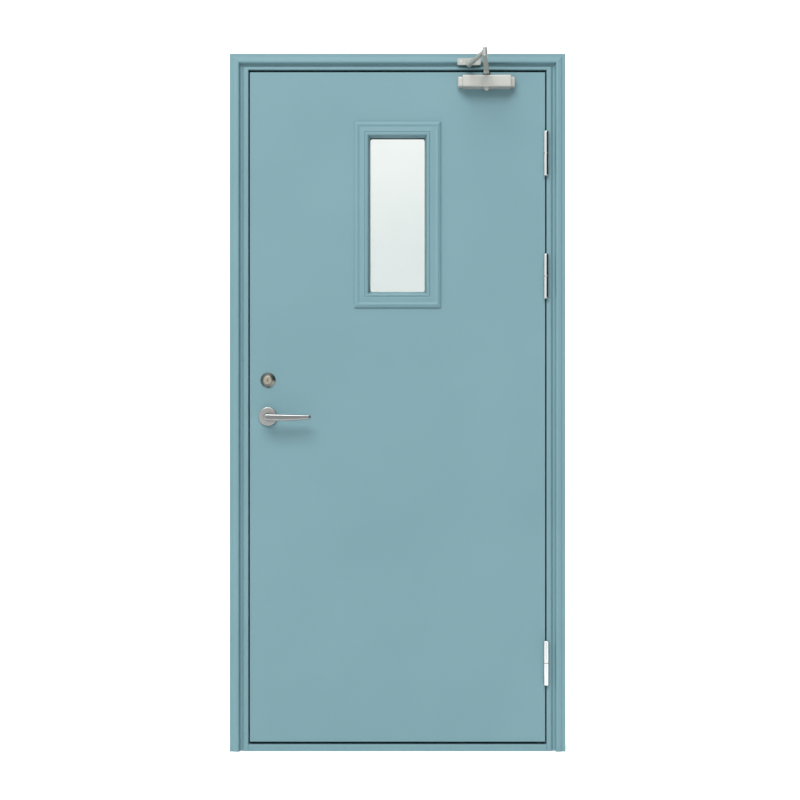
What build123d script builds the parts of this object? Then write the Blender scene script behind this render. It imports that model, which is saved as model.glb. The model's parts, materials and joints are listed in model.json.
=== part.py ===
from build123d import *
import math
import os

os.makedirs("parts", exist_ok=True)

# A steel fire door in its frame, in millimetres. X runs across the doorway, Y from the side that the
# leaf opens towards to the far side, and Z up. The origin is on the floor under the sill, midway
# between the jambs, in the middle plane of the leaf.

# Frame
frame_width = 1010
frame_height = 2100
frame_depth = 110
jamb_face = 56
head_face = 48
frame_sheet = 2
frame_bend = 2.4
outer_return = 20
back_return = 15
edge_drop = 4
stop_width = 18
sill_height = 20
sill_stop_height = 18
sill_wall = 2
sill_nose = 3

# Moulding of the frame's face: distances in from the outer edge, and depths behind its crest
edge_in = 10.5
step_in = 12
step_drop = 1.8
crest_in = 22
shoulder_in = 27.5
shoulder_drop = 0.7
foot_in = 31
foot_drop = 13
valley_in = 36
valley_drop = 15
flat_in = 43.5

# Leaf
leaf_thickness = 50
side_gap = 4
head_gap = 7
floor_gap = 8
face_proud = 10
lip_proud = 2
skin_sheet = 1
skin_edge_round = 1.5
skin_return = 15
stile_strip = 3
channel_sheet = 1.5
channel_leg = 30
seal_thickness = 3.7
seal_width = 10
seal_edge = 1
seal_clearance = 0.3

# Vision panel
sight_width = 178
sight_height = 478
panel_below_top = 484
bead_width = 41
bead_sheet = 1.2
bead_bend = 1.8
bead_foot = 2
aperture_margin = 23
lining_sheet = 1.5
pane_thickness = 20
pane_clearance = 6
gasket_thickness = 3
gasket_width = 9
gasket_ledge = 7
gasket_corner = 6
setting_block_length = 80
setting_block_place = 60

# Hinges
top_hinge_below_top = 301
middle_hinge_below_top = 670
bottom_hinge_height = 267
hinge_length = 134
hinge_gap_share = 0.5
hinge_standoff = 9.5
knuckle_radius = 7.5
knuckle_chamfer = 1
pin_radius = 4
pin_fit = 0.05
pin_foot_short = 5
pin_head_short = 12
washer_thickness = 1.5
washer_clearance = 0.1
plate_proud = 1
plate_depth = 30
hinge_screw_spacing = 45
hinge_screw_inset = 17
hinge_screw_length = 12
backing_thickness = 3
backing_margin = 15
backing_inset = 1

# Countersunk screws
screw_radius = 2.5
screw_head_radius = 4.4
screw_socket_radius = 1.6
screw_socket_depth = 1.6
screw_clearance = 0.05

# Lock
lock_backset = 55
lever_z = 1008
cylinder_above_lever = 109
deadbolt_above_lever = 77
faceplate_width = 24
faceplate_height = 235
faceplate_thickness = 3
faceplate_above_lever = 54.5
faceplate_screw_inset = 10
case_width = 22
case_depth = 90
case_inset = 25
case_wall = 2
bolt_clearance = 0.3
latch_throw = 12
latch_width = 13
latch_height = 20
latch_head_length = 27
deadbolt_width = 14
deadbolt_height = 26
deadbolt_length = 38
tail_thickness = 4
tail_band = 6
tail_over_follower = 1
tail_over_finger = 8
latch_notch_offset = 5
latch_notch_half = 8
latch_edge_flat = 2
latch_tail_short = 11
deadbolt_notch_start_offset = 1
deadbolt_notch_length = 18
deadbolt_notch_depth = 5
deadbolt_tail_lip = 7
strike_width = 28
strike_margin = 26
strike_box_depth = 27
strike_box_wall = 1.5
strike_room = 3

# Levers
rose_radius = 28
rose_thickness = 8
rose_edge = 2
neck_radius = 9
neck_clearance = 0.3
lever_reach = 132
lever_standoff = 60
blade_thickness = 13
blade_round = 3.5
blade_root_top = 8
blade_root_middle = 2
blade_root_bottom = 12
blade_root_back = 10
blade_tip_top = 5
blade_tip_middle = -1
blade_tip_bottom = 7
blade_tip_run = 7
blade_tip_return = 7
blade_belly_near = 13
blade_belly_far = 10.5
neck_into_leaf = 1
spindle_width = 8
spindle_length = 120
spindle_fit = 0.1
follower_radius = 10
follower_reach = 26
follower_finger_width = 6
follower_lean = 20
follower_play = 0.5

# Cylinder and thumbturn
escutcheon_radius = 23
escutcheon_thickness = 10
cylinder_radius = 12
cylinder_proud = 4
cylinder_edge = 1
escutcheon_taper = 40
plug_sunk = 0.5
keyway_width = 2
keyway_height = 9
keyway_depth = 20
cam_clearance = 1
plug_radius = 6.5
plug_fit = 0.1
cam_radius = 11
cam_reach = 22
cam_thickness = 5
thumbturn_radius = 11
thumbturn_length = 22
thumbturn_grip = 8
thumbturn_grip_height = 36
thumbturn_collar = 5.5

# Closer
closer_x = 267
closer_length = 172
closer_depth = 40
closer_height = 36
closer_below_leaf_top = 15
closer_bevel = 4
end_cap_length = 14
end_cap_depth = 26
end_cap_height = 30
end_cap_wall = 1.5
foot_thickness = 12
foot_margin = 2
foot_screw_step = 12
plug_thickness = 5
closer_plate_thickness = 5
closer_plate_margin = 3
closer_bore_radius = 15
shaft_radius = 7
shaft_clearance = 0.3
piston_length = 70
piston_rest_offset = 13.4
piston_fit = 0.1
piston_window_length = 50
piston_far_room = 2
gear_module = 1.5
gear_teeth = 12
gear_pressure = 25
gear_backlash = 0.15
gear_clearance = 0.375
rack_teeth = 10
rack_teeth_behind = 2
rack_height = 14
spring_wire = 3
spring_turns = 6
boss_radius = 12
boss_height = 3
hub_radius = 12
hub_height = 8
hub_clearance = 3
shaft_sunk = 0.5
bottom_cap_height = 6
bottom_cap_radius = 8
bottom_cap_flat = 5
bottom_cap_crown = 1
riser_overlap = 2.5
riser_short = 1.5
nut_radius = 8.5
nut_height = 5
nut_dome = 4
nut_dome_base = 6.5
nut_dome_top = 3
arm_over_leaf = 1.5
arm_thickness = 6
arm_width = 15
elbow_reach = (-16, -195)
elbow_clearance = 0.3
elbow_post_radius = 5.5
elbow_head_radius = 7
elbow_head_height = 2.5
elbow_collar = 4
forearm_rise = 3.5
forearm_thickness = 8
forearm_width = 12
forearm_eye = 8
shoe_x = 215
shoe_standoff = 25
shoe_length = 70
shoe_height = 20
shoe_screw_height = 12
shoe_plate = 4
shoe_ear = 8
shoe_pin_radius = 4
shoe_web = 16
shoe_screw_step = 48

# Wall fixings through the stops of the jambs
fixing_radius = 5.5
fixing_from_floor = 200
fixing_from_top = 220
fixing_count = 4

# Levels and faces that follow from the sizes above
leaf_front = -leaf_thickness / 2
leaf_back = leaf_thickness / 2
rebate_x = frame_width / 2 - jamb_face
rebate_z = frame_height - head_face
leaf_x = rebate_x - side_gap
leaf_top = rebate_z - head_gap
leaf_bottom = sill_height + floor_gap
leaf_middle_z = (leaf_top + leaf_bottom) / 2
crest_y = leaf_front - face_proud
lip_y = leaf_front - lip_proud
stop_y = leaf_back + seal_clearance + seal_thickness
stop_x = rebate_x - stop_width
frame_back = crest_y + frame_depth
plate_thickness = frame_sheet + plate_proud
hinge_x = rebate_x - side_gap * hinge_gap_share
hinge_y = leaf_front - hinge_standoff
stile_x = leaf_x - frame_sheet
lock_x = -leaf_x + lock_backset
face_x = -leaf_x + faceplate_thickness
panel_centre_z = frame_height - panel_below_top
hinge_heights = (
    frame_height - top_hinge_below_top,
    frame_height - middle_hinge_below_top,
    bottom_hinge_height,
)
fixing_spacing = (frame_height - fixing_from_floor - fixing_from_top) / (fixing_count - 1)
fixing_heights = [fixing_from_floor + i * fixing_spacing for i in range(fixing_count)]
cylinder_z = lever_z + cylinder_above_lever
deadbolt_z = lever_z + deadbolt_above_lever
faceplate_centre_z = lever_z + faceplate_above_lever
case_height = faceplate_height - 2 * case_inset
closer_top = leaf_top - closer_below_leaf_top
closer_centre_z = closer_top - closer_height / 2
hub_bottom = closer_top + hub_clearance
arm_bottom = leaf_top + arm_over_leaf
arm_top = arm_bottom + arm_thickness
forearm_bottom = arm_top + forearm_rise
forearm_top = forearm_bottom + forearm_thickness
shoe_z = forearm_top + elbow_clearance
shoe_face_y = crest_y - shoe_plate
shoe_screw_z = shoe_z + shoe_screw_height
shoe_screw_places = (shoe_x - shoe_screw_step / 2, shoe_x + shoe_screw_step / 2)
pitch_radius = gear_module * gear_teeth / 2
tip_radius = pitch_radius + gear_module
root_radius = pitch_radius - gear_module - gear_clearance
sight_x = sight_width / 2
sight_z = sight_height / 2


def countersunk_screw(length):
    # A hexagon-socket countersunk screw, head up, with its flat face at the origin
    head = screw_head_radius - screw_clearance
    shank = screw_radius - screw_clearance
    with BuildPart(mode=Mode.PRIVATE) as screw:
        with BuildSketch(Plane.XZ):
            with BuildLine():
                Polyline(
                    (0, 0), (head, 0), (shank, shank - head), (shank, -length), (0, -length), close=True
                )
            make_face()
        revolve(axis=Axis.Z)
        with BuildSketch():
            RegularPolygon(screw_socket_radius, 6)
        extrude(amount=-screw_socket_depth, mode=Mode.SUBTRACT)
    return screw.part


def facing(x, y, z, direction):
    # A plane at a point with its normal along the direction, for a hole or a screw head
    return Plane(origin=(x, y, z), z_dir=direction)


# Frame. The jambs and the head are folded from sheet in one outline, listed as distance in from the
# outer edge and Y. The head's moulding is the jambs' own, and only the flat inside it is narrower.
frame_outline = (
    (0, crest_y + outer_return),
    (0, crest_y + edge_drop),
    (edge_in, crest_y + edge_drop),
    (step_in, crest_y + step_drop),
    (crest_in, crest_y),
    (shoulder_in, crest_y + shoulder_drop),
    (foot_in, crest_y + foot_drop),
    (valley_in, crest_y + valley_drop),
    (flat_in, lip_y),
    (jamb_face, lip_y),
    (jamb_face, stop_y),
    (jamb_face + stop_width, stop_y),
    (jamb_face + stop_width, frame_back),
    (0, frame_back),
    (0, frame_back - back_return),
)


def down_from_top(inward):
    # Where a line of the jamb's outline meets the head: level with the mitre's three straight runs
    if inward <= valley_in:
        return inward
    if inward <= jamb_face:
        share = (head_face - valley_in) / (jamb_face - valley_in)
        return valley_in + (inward - valley_in) * share
    return inward - jamb_face + head_face


mitre_reach = 2 * jamb_face
mitre_steps = [(inward, down_from_top(inward)) for inward in (0, valley_in, jamb_face, mitre_reach)]
mitre_points = [(inward - frame_width / 2, frame_height - down) for inward, down in mitre_steps]

with BuildPart() as lock_jamb_blank:
    with BuildSketch():
        with BuildLine():
            FilletPolyline(
                [(inward - frame_width / 2, y) for inward, y in frame_outline],
                radius=frame_bend,
            )
            offset(amount=frame_sheet, side=Side.LEFT)
        make_face()
    extrude(amount=frame_height)
    with BuildSketch(Plane.XZ):
        with BuildLine():
            Polyline(
                *mitre_points, (mitre_points[-1][0], 0), (mitre_points[0][0], 0), close=True
            )
        make_face()
    extrude(amount=frame_depth, both=True, mode=Mode.INTERSECT)

fixing_y = (stop_y + frame_back) / 2
plate_y = leaf_front + plate_depth / 2
frame_plate_x = rebate_x - plate_proud + plate_thickness / 2
leaf_plate_x = stile_x + plate_thickness / 2
half_knuckle = (hinge_length - washer_thickness) / 2
tongue_length = leaf_front - hinge_y

with BuildPart() as frame_hinge_jamb:
    mirror(lock_jamb_blank.part, about=Plane.YZ)
    for centre_z in hinge_heights:
        with Locations((frame_plate_x, plate_y, centre_z)):
            Box(plate_thickness, plate_depth, hinge_length, mode=Mode.SUBTRACT)
        with Locations((frame_plate_x, hinge_y + tongue_length / 2, centre_z - hinge_length / 2)):
            Box(
                plate_thickness,
                tongue_length,
                half_knuckle,
                align=(Align.CENTER, Align.CENTER, Align.MIN),
                mode=Mode.SUBTRACT,
            )
    with Locations([facing(stop_x, fixing_y, z, (-1, 0, 0)) for z in fixing_heights]):
        Hole(fixing_radius, depth=2 * frame_sheet)
frame_hinge_jamb.part.label = "frame_hinge_jamb"
export_step(frame_hinge_jamb.part, "parts/frame_hinge_jamb.step")

# The strike plate fills a cut-out in the lock jamb's rebate, opposite the latch and the deadbolt.
strike_bottom = lever_z - latch_height / 2 - strike_room - strike_margin
strike_top = deadbolt_z + deadbolt_height / 2 + strike_room + strike_margin
strike_centre_z = (strike_bottom + strike_top) / 2
strike_height = strike_top - strike_bottom
strike_x = -rebate_x - frame_sheet / 2

with BuildPart() as frame_lock_jamb:
    add(lock_jamb_blank.part)
    with Locations((strike_x, 0, strike_centre_z)):
        Box(2 * frame_sheet, strike_width, strike_height, mode=Mode.SUBTRACT)
    with Locations([facing(-stop_x, fixing_y, z, (1, 0, 0)) for z in fixing_heights]):
        Hole(fixing_radius, depth=2 * frame_sheet)
frame_lock_jamb.part.label = "frame_lock_jamb"
export_step(frame_lock_jamb.part, "parts/frame_lock_jamb.step")

with BuildPart() as frame_head:
    with BuildSketch(Plane.YZ.offset(-frame_width / 2)):
        with BuildLine():
            FilletPolyline(
                [(y, frame_height - down_from_top(inward)) for inward, y in frame_outline],
                radius=frame_bend,
            )
            offset(amount=frame_sheet, side=Side.LEFT)
        make_face()
    extrude(amount=frame_width)
    with BuildSketch(Plane.XZ):
        with BuildLine():
            Polyline(*mitre_points, *[(-x, z) for x, z in reversed(mitre_points)], close=True)
        make_face()
    extrude(amount=frame_depth, both=True, mode=Mode.INTERSECT)
    with Locations([facing(x, crest_y, shoe_screw_z, (0, -1, 0)) for x in shoe_screw_places]):
        Hole(screw_radius, depth=2 * edge_drop)
frame_head.part.label = "frame_head"
export_step(frame_head.part, "parts/frame_head.step")

# The sill is a hollow extrusion with a step behind the leaf, cut back round the jambs' stops.
with BuildPart() as sill:
    with BuildSketch(Plane.YZ.offset(-rebate_x)):
        with BuildLine():
            Polyline(
                (lip_y, 0),
                (lip_y, sill_height - sill_nose),
                (lip_y + sill_nose, sill_height),
                (stop_y, sill_height),
                (stop_y, sill_height + sill_stop_height),
                (frame_back, sill_height + sill_stop_height),
                (frame_back, 0),
                close=True,
            )
        make_face()
        offset(amount=-sill_wall, kind=Kind.INTERSECTION, mode=Mode.SUBTRACT)
        with Locations((stop_y - sill_wall / 2, sill_height / 2), (0, sill_height / 2)):
            Rectangle(sill_wall, sill_height - sill_wall)
    extrude(amount=2 * rebate_x)
    for side in (-1, 1):
        with Locations((side * (stop_x + stop_width / 2), (stop_y + frame_back) / 2, 0)):
            Box(
                stop_width,
                frame_back - stop_y,
                2 * (sill_height + sill_stop_height),
                mode=Mode.SUBTRACT,
            )
        with Locations((side * (rebate_x - frame_bend / 2), stop_y - frame_bend / 2, 0)):
            Box(frame_bend, frame_bend, 2 * (sill_height + sill_stop_height), mode=Mode.SUBTRACT)
sill.part.label = "sill"
export_step(sill.part, "parts/sill.step")

# One seal runs round the stops and the sill's step, under the edge of the closed leaf.
with BuildPart() as frame_seal:
    with BuildSketch(Plane.XZ.offset(-stop_y)):
        with Locations((0, leaf_middle_z)):
            Rectangle(2 * leaf_x, leaf_top - leaf_bottom)
            Rectangle(
                2 * (leaf_x - seal_width),
                leaf_top - leaf_bottom - 2 * seal_width,
                mode=Mode.SUBTRACT,
            )
    extrude(amount=seal_thickness)
    chamfer(frame_seal.faces().sort_by(Axis.Y)[0].edges(), length=seal_edge)
frame_seal.part.label = "frame_seal"
export_step(frame_seal.part, "parts/frame_seal.step")

# Hinges. The lower knuckle and its pin stay on the frame, and the upper one lifts off with the leaf.
lower_knuckle_top = half_knuckle - hinge_length / 2
upper_knuckle_bottom = lower_knuckle_top + washer_thickness + washer_clearance
upper_knuckle_height = hinge_length / 2 - upper_knuckle_bottom
pin_below = half_knuckle - pin_foot_short
pin_above = half_knuckle - pin_head_short
hinge_screw_y = leaf_front + hinge_screw_inset
hinge_screw_steps = (-hinge_screw_spacing, 0, hinge_screw_spacing)

# Each half is modelled once, with its middle at height zero, and copied to the three heights.
with BuildPart() as frame_hinge:
    with Locations((hinge_x, hinge_y, -hinge_length / 2)):
        Cylinder(knuckle_radius, half_knuckle, align=(Align.CENTER, Align.CENTER, Align.MIN))
    chamfer(frame_hinge.edges().filter_by(GeomType.CIRCLE).sort_by(Axis.Z)[0], knuckle_chamfer)
    with Locations((frame_plate_x, hinge_y, -hinge_length / 2)):
        Box(
            plate_thickness, tongue_length, half_knuckle, align=(Align.CENTER, Align.MIN, Align.MIN)
        )
    with Locations((frame_plate_x, plate_y, 0)):
        Box(plate_thickness, plate_depth, hinge_length)
    with Locations((hinge_x, hinge_y, lower_knuckle_top)):
        Cylinder(
            pin_radius,
            pin_below,
            align=(Align.CENTER, Align.CENTER, Align.MAX),
            mode=Mode.SUBTRACT,
        )
    with Locations(
        [facing(rebate_x - plate_proud, hinge_screw_y, z, (-1, 0, 0)) for z in hinge_screw_steps]
    ):
        CounterSinkHole(screw_radius, screw_head_radius, depth=plate_thickness)

with BuildPart() as frame_hinges:
    with Locations([(0, 0, z) for z in hinge_heights]):
        add(frame_hinge.part)
frame_hinges.part.label = "frame_hinges"
export_step(frame_hinges.part, "parts/frame_hinges.step")

with BuildPart() as leaf_hinge:
    with Locations((hinge_x, hinge_y, upper_knuckle_bottom)):
        Cylinder(
            knuckle_radius, upper_knuckle_height, align=(Align.CENTER, Align.CENTER, Align.MIN)
        )
    chamfer(leaf_hinge.edges().filter_by(GeomType.CIRCLE).sort_by(Axis.Z)[-1], knuckle_chamfer)
    with Locations((leaf_plate_x, hinge_y, upper_knuckle_bottom)):
        Box(
            plate_thickness,
            tongue_length,
            upper_knuckle_height,
            align=(Align.CENTER, Align.MIN, Align.MIN),
        )
    with Locations((leaf_plate_x, plate_y, 0)):
        Box(plate_thickness, plate_depth, hinge_length)
    with Locations((hinge_x, hinge_y, 0)):
        Cylinder(
            pin_radius + pin_fit,
            pin_above + washer_thickness,
            align=(Align.CENTER, Align.CENTER, Align.MIN),
            mode=Mode.SUBTRACT,
        )
    with Locations(
        [facing(leaf_x + plate_proud, hinge_screw_y, z, (1, 0, 0)) for z in hinge_screw_steps]
    ):
        CounterSinkHole(screw_radius, screw_head_radius, depth=plate_thickness)

with BuildPart() as leaf_hinges:
    with Locations([(0, 0, z) for z in hinge_heights]):
        add(leaf_hinge.part)
leaf_hinges.part.label = "leaf_hinges"
export_step(leaf_hinges.part, "parts/leaf_hinges.step")

with BuildPart() as hinge_pins:
    with Locations([(hinge_x, hinge_y, z + lower_knuckle_top - pin_below) for z in hinge_heights]):
        Cylinder(
            pin_radius, pin_below + pin_above, align=(Align.CENTER, Align.CENTER, Align.MIN)
        )
hinge_pins.part.label = "hinge_pins"
export_step(hinge_pins.part, "parts/hinge_pins.step")

with BuildPart() as hinge_washers:
    with Locations([(hinge_x, hinge_y, z) for z in hinge_heights]):
        Cylinder(knuckle_radius - washer_clearance, washer_thickness)
        Cylinder(pin_radius + pin_fit, washer_thickness, mode=Mode.SUBTRACT)
hinge_washers.part.label = "hinge_washers"
export_step(hinge_washers.part, "parts/hinge_washers.step")

hinge_screw = countersunk_screw(hinge_screw_length)
with BuildPart() as frame_hinge_screws:
    with Locations(
        [
            facing(rebate_x - plate_proud, hinge_screw_y, z + step, (-1, 0, 0))
            for z in hinge_heights
            for step in hinge_screw_steps
        ]
    ):
        add(hinge_screw)
frame_hinge_screws.part.label = "frame_hinge_screws"
export_step(frame_hinge_screws.part, "parts/frame_hinge_screws.step")

with BuildPart() as leaf_hinge_screws:
    with Locations(
        [
            facing(leaf_x + plate_proud, hinge_screw_y, z + step, (1, 0, 0))
            for z in hinge_heights
            for step in hinge_screw_steps
        ]
    ):
        add(hinge_screw)
leaf_hinge_screws.part.label = "leaf_hinge_screws"
export_step(leaf_hinge_screws.part, "parts/leaf_hinge_screws.step")

with BuildPart() as hinge_backing_plates:
    with Locations([(rebate_x + frame_sheet, plate_y, z) for z in hinge_heights]):
        Box(
            backing_thickness,
            plate_depth - 2 * backing_inset,
            hinge_length + 2 * backing_margin,
            align=(Align.MIN, Align.CENTER, Align.CENTER),
        )
    with Locations(
        [
            facing(rebate_x + frame_sheet, hinge_screw_y, z + step, (-1, 0, 0))
            for z in hinge_heights
            for step in hinge_screw_steps
        ]
    ):
        Hole(screw_radius, depth=backing_thickness)
hinge_backing_plates.part.label = "hinge_backing_plates"
export_step(hinge_backing_plates.part, "parts/hinge_backing_plates.step")

# Strike
latch_mouth = (latch_width + 2 * strike_room, latch_height + 2 * strike_room)
deadbolt_mouth = (deadbolt_width + 2 * strike_room, deadbolt_height + 2 * strike_room)
strike_screw_inset = strike_margin / 2
strike_screw_heights = (strike_bottom + strike_screw_inset, strike_top - strike_screw_inset)

with BuildPart() as strike_plate:
    with Locations((strike_x, 0, strike_centre_z)):
        Box(frame_sheet, strike_width, strike_height)
    with Locations((strike_x, 0, lever_z)):
        Box(2 * frame_sheet, *latch_mouth, mode=Mode.SUBTRACT)
    with Locations((strike_x, 0, deadbolt_z)):
        Box(2 * frame_sheet, *deadbolt_mouth, mode=Mode.SUBTRACT)
    with Locations([facing(-rebate_x, 0, z, (1, 0, 0)) for z in strike_screw_heights]):
        CounterSinkHole(screw_radius, screw_head_radius, depth=frame_sheet)
strike_plate.part.label = "strike_plate"
export_step(strike_plate.part, "parts/strike_plate.step")

box_face_x = -rebate_x - frame_sheet
box_inner_width = strike_width - 6 * strike_box_wall
with BuildPart() as strike_box:
    with Locations((box_face_x - strike_box_wall / 2, 0, strike_centre_z)):
        Box(strike_box_wall, strike_width + 4 * strike_box_wall, strike_height + 4 * strike_box_wall)
    box_height = strike_height - 2 * strike_margin
    with Locations((box_face_x, 0, strike_centre_z)):
        Box(
            strike_box_depth,
            box_inner_width + 2 * strike_box_wall,
            box_height + 2 * strike_box_wall,
            align=(Align.MAX, Align.CENTER, Align.CENTER),
        )
        Box(
            strike_box_depth - strike_box_wall,
            box_inner_width,
            box_height,
            align=(Align.MAX, Align.CENTER, Align.CENTER),
            mode=Mode.SUBTRACT,
        )
    with Locations([facing(box_face_x, 0, z, (1, 0, 0)) for z in strike_screw_heights]):
        Hole(screw_radius, depth=strike_box_wall)
strike_box.part.label = "strike_box"
export_step(strike_box.part, "parts/strike_box.step")

strike_screw = countersunk_screw(hinge_screw_length)
with BuildPart() as strike_screws:
    with Locations([facing(-rebate_x, 0, z, (1, 0, 0)) for z in strike_screw_heights]):
        add(strike_screw)
strike_screws.part.label = "strike_screws"
export_step(strike_screws.part, "parts/strike_screws.step")

# Leaf. Two steel skins round a core, with a strip at each edge and a channel at the top and bottom.
aperture_x = sight_x + aperture_margin
aperture_z = sight_z + aperture_margin
inner_x = stile_x - stile_strip
core_bottom = leaf_bottom + 2 * skin_sheet + channel_leg
core_top = leaf_top - 2 * skin_sheet - channel_leg
faceplate_bottom = faceplate_centre_z - faceplate_height / 2
faceplate_top = faceplate_centre_z + faceplate_height / 2
faceplate_screw_heights = (
    faceplate_bottom + faceplate_screw_inset,
    faceplate_top - faceplate_screw_inset,
)
closer_plate_height = closer_height + 2 * closer_plate_margin
body_length = closer_length - 2 * end_cap_length
foot_length = end_cap_length - end_cap_wall - foot_margin
closer_screw_places = [
    (closer_x + side * (body_length + foot_length) / 2, closer_centre_z + step)
    for side in (-1, 1)
    for step in (-foot_screw_step / 2, foot_screw_step / 2)
]
spindle_hole_radius = follower_radius + case_wall
cylinder_hole_radius = cylinder_radius + neck_clearance


def cut_through(hole_radius, x, z):
    # A hole right through the leaf along Y
    with Locations(Location((x, 0, z), (90, 0, 0))):
        Cylinder(hole_radius, 2 * leaf_thickness, mode=Mode.SUBTRACT)


def cut_aperture(half_width, half_height):
    # The vision panel's opening right through the leaf
    with Locations((0, 0, panel_centre_z)):
        Box(2 * half_width, 2 * leaf_thickness, 2 * half_height, mode=Mode.SUBTRACT)


def cut_lock_edge():
    # The faceplate's seat in the lock edge
    with Locations((-leaf_x, 0, faceplate_centre_z)):
        Box(2 * faceplate_thickness, faceplate_width, faceplate_height, mode=Mode.SUBTRACT)


def cut_hinge_edge():
    # The seats of the hinge plates in the hinge edge
    with Locations([(leaf_plate_x, plate_y, z) for z in hinge_heights]):
        Box(plate_thickness, plate_depth, hinge_length, mode=Mode.SUBTRACT)


with BuildPart() as leaf_front_skin:
    with Locations((0, leaf_front, leaf_middle_z)):
        Box(
            2 * leaf_x,
            leaf_thickness - skin_sheet,
            leaf_top - leaf_bottom,
            align=(Align.CENTER, Align.MIN, Align.CENTER),
        )
    fillet(leaf_front_skin.faces().sort_by(Axis.Y)[0].edges(), radius=skin_edge_round)
    with Locations((0, leaf_front + skin_sheet, leaf_middle_z)):
        Box(
            2 * (leaf_x - skin_sheet),
            leaf_thickness,
            leaf_top - leaf_bottom - 2 * skin_sheet,
            align=(Align.CENTER, Align.MIN, Align.CENTER),
            mode=Mode.SUBTRACT,
        )
    cut_aperture(aperture_x, aperture_z)
    cut_through(spindle_hole_radius, lock_x, lever_z)
    cut_through(cylinder_hole_radius, lock_x, cylinder_z)
    cut_lock_edge()
    cut_hinge_edge()
    with Locations([facing(x, leaf_front, z, (0, -1, 0)) for x, z in closer_screw_places]):
        Hole(screw_radius, depth=2 * skin_sheet)
leaf_front_skin.part.label = "leaf_front_skin"
export_step(leaf_front_skin.part, "parts/leaf_front_skin.step")

with BuildPart() as leaf_back_skin:
    with Locations((0, leaf_back, leaf_middle_z)):
        Box(
            2 * leaf_x,
            skin_sheet,
            leaf_top - leaf_bottom,
            align=(Align.CENTER, Align.MAX, Align.CENTER),
        )
    with Locations((0, leaf_back - skin_sheet, leaf_middle_z)):
        Box(
            2 * (leaf_x - skin_sheet),
            skin_return,
            leaf_top - leaf_bottom - 2 * skin_sheet,
            align=(Align.CENTER, Align.MAX, Align.CENTER),
        )
        Box(
            2 * (leaf_x - 2 * skin_sheet),
            skin_return,
            leaf_top - leaf_bottom - 4 * skin_sheet,
            align=(Align.CENTER, Align.MAX, Align.CENTER),
            mode=Mode.SUBTRACT,
        )
    cut_aperture(aperture_x, aperture_z)
    cut_through(spindle_hole_radius, lock_x, lever_z)
    cut_through(plug_radius + neck_clearance, lock_x, cylinder_z)
    cut_lock_edge()
leaf_back_skin.part.label = "leaf_back_skin"
export_step(leaf_back_skin.part, "parts/leaf_back_skin.step")

core_thickness = leaf_thickness - 2 * skin_sheet

with BuildPart() as leaf_core:
    with Locations((0, 0, (core_bottom + core_top) / 2)):
        Box(2 * inner_x, core_thickness, core_top - core_bottom)
    cut_aperture(aperture_x, aperture_z)
    cut_through(spindle_hole_radius, lock_x, lever_z)
    cut_through(cylinder_hole_radius, lock_x, cylinder_z)
    with Locations((-inner_x, 0, faceplate_centre_z)):
        Box(
            face_x + case_depth + inner_x,
            case_width,
            case_height,
            align=(Align.MIN, Align.CENTER, Align.CENTER),
            mode=Mode.SUBTRACT,
        )
    with Locations((closer_x, leaf_front + skin_sheet, closer_centre_z)):
        Box(
            closer_length,
            closer_plate_thickness,
            closer_plate_height,
            align=(Align.CENTER, Align.MIN, Align.CENTER),
            mode=Mode.SUBTRACT,
        )
    with Locations(
        [
            facing(inner_x, hinge_screw_y, z + step, (1, 0, 0))
            for z in hinge_heights
            for step in hinge_screw_steps
        ]
    ):
        Hole(screw_radius, depth=hinge_screw_length)
    with Locations([facing(-inner_x, 0, z, (-1, 0, 0)) for z in faceplate_screw_heights]):
        Hole(screw_radius, depth=hinge_screw_length)
leaf_core.part.label = "leaf_core"
export_step(leaf_core.part, "parts/leaf_core.step")

strip_bottom = leaf_bottom + 2 * skin_sheet
strip_top = leaf_top - 2 * skin_sheet
with BuildPart() as hinge_stile:
    with Locations((stile_x, 0, leaf_middle_z)):
        Box(
            stile_strip,
            core_thickness,
            strip_top - strip_bottom,
            align=(Align.MAX, Align.CENTER, Align.CENTER),
        )
    with Locations(
        [
            facing(stile_x, hinge_screw_y, z + step, (1, 0, 0))
            for z in hinge_heights
            for step in hinge_screw_steps
        ]
    ):
        Hole(screw_radius, depth=stile_strip)
hinge_stile.part.label = "hinge_stile"
export_step(hinge_stile.part, "parts/hinge_stile.step")

with BuildPart() as lock_stile:
    with Locations((-stile_x, 0, leaf_middle_z)):
        Box(
            stile_strip,
            core_thickness,
            strip_top - strip_bottom,
            align=(Align.MIN, Align.CENTER, Align.CENTER),
        )
    cut_lock_edge()
    with Locations((-stile_x, 0, faceplate_centre_z)):
        Box(3 * stile_strip, case_width, case_height, mode=Mode.SUBTRACT)
    with Locations([facing(face_x, 0, z, (-1, 0, 0)) for z in faceplate_screw_heights]):
        Hole(screw_radius, depth=2 * stile_strip)
lock_stile.part.label = "lock_stile"
export_step(lock_stile.part, "parts/lock_stile.step")


def leaf_channel(web_z, leg_direction):
    # A channel across the leaf with its web on the core and its legs along the skins
    with BuildPart(mode=Mode.PRIVATE) as channel:
        with BuildSketch(Plane.YZ.offset(-inner_x)):
            with Locations((0, web_z + leg_direction * channel_leg / 2)):
                Rectangle(core_thickness, channel_leg)
            with Locations((0, web_z + leg_direction * (channel_sheet + channel_leg / 2))):
                Rectangle(core_thickness - 2 * channel_sheet, channel_leg, mode=Mode.SUBTRACT)
        extrude(amount=2 * inner_x)
    return channel.part


with BuildPart() as top_channel:
    add(leaf_channel(core_top, 1))
    with Locations((closer_x, leaf_front + skin_sheet, closer_centre_z)):
        Box(
            closer_length,
            closer_plate_thickness,
            closer_plate_height,
            align=(Align.CENTER, Align.MIN, Align.CENTER),
            mode=Mode.SUBTRACT,
        )
top_channel.part.label = "top_channel"
export_step(top_channel.part, "parts/top_channel.step")

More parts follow.
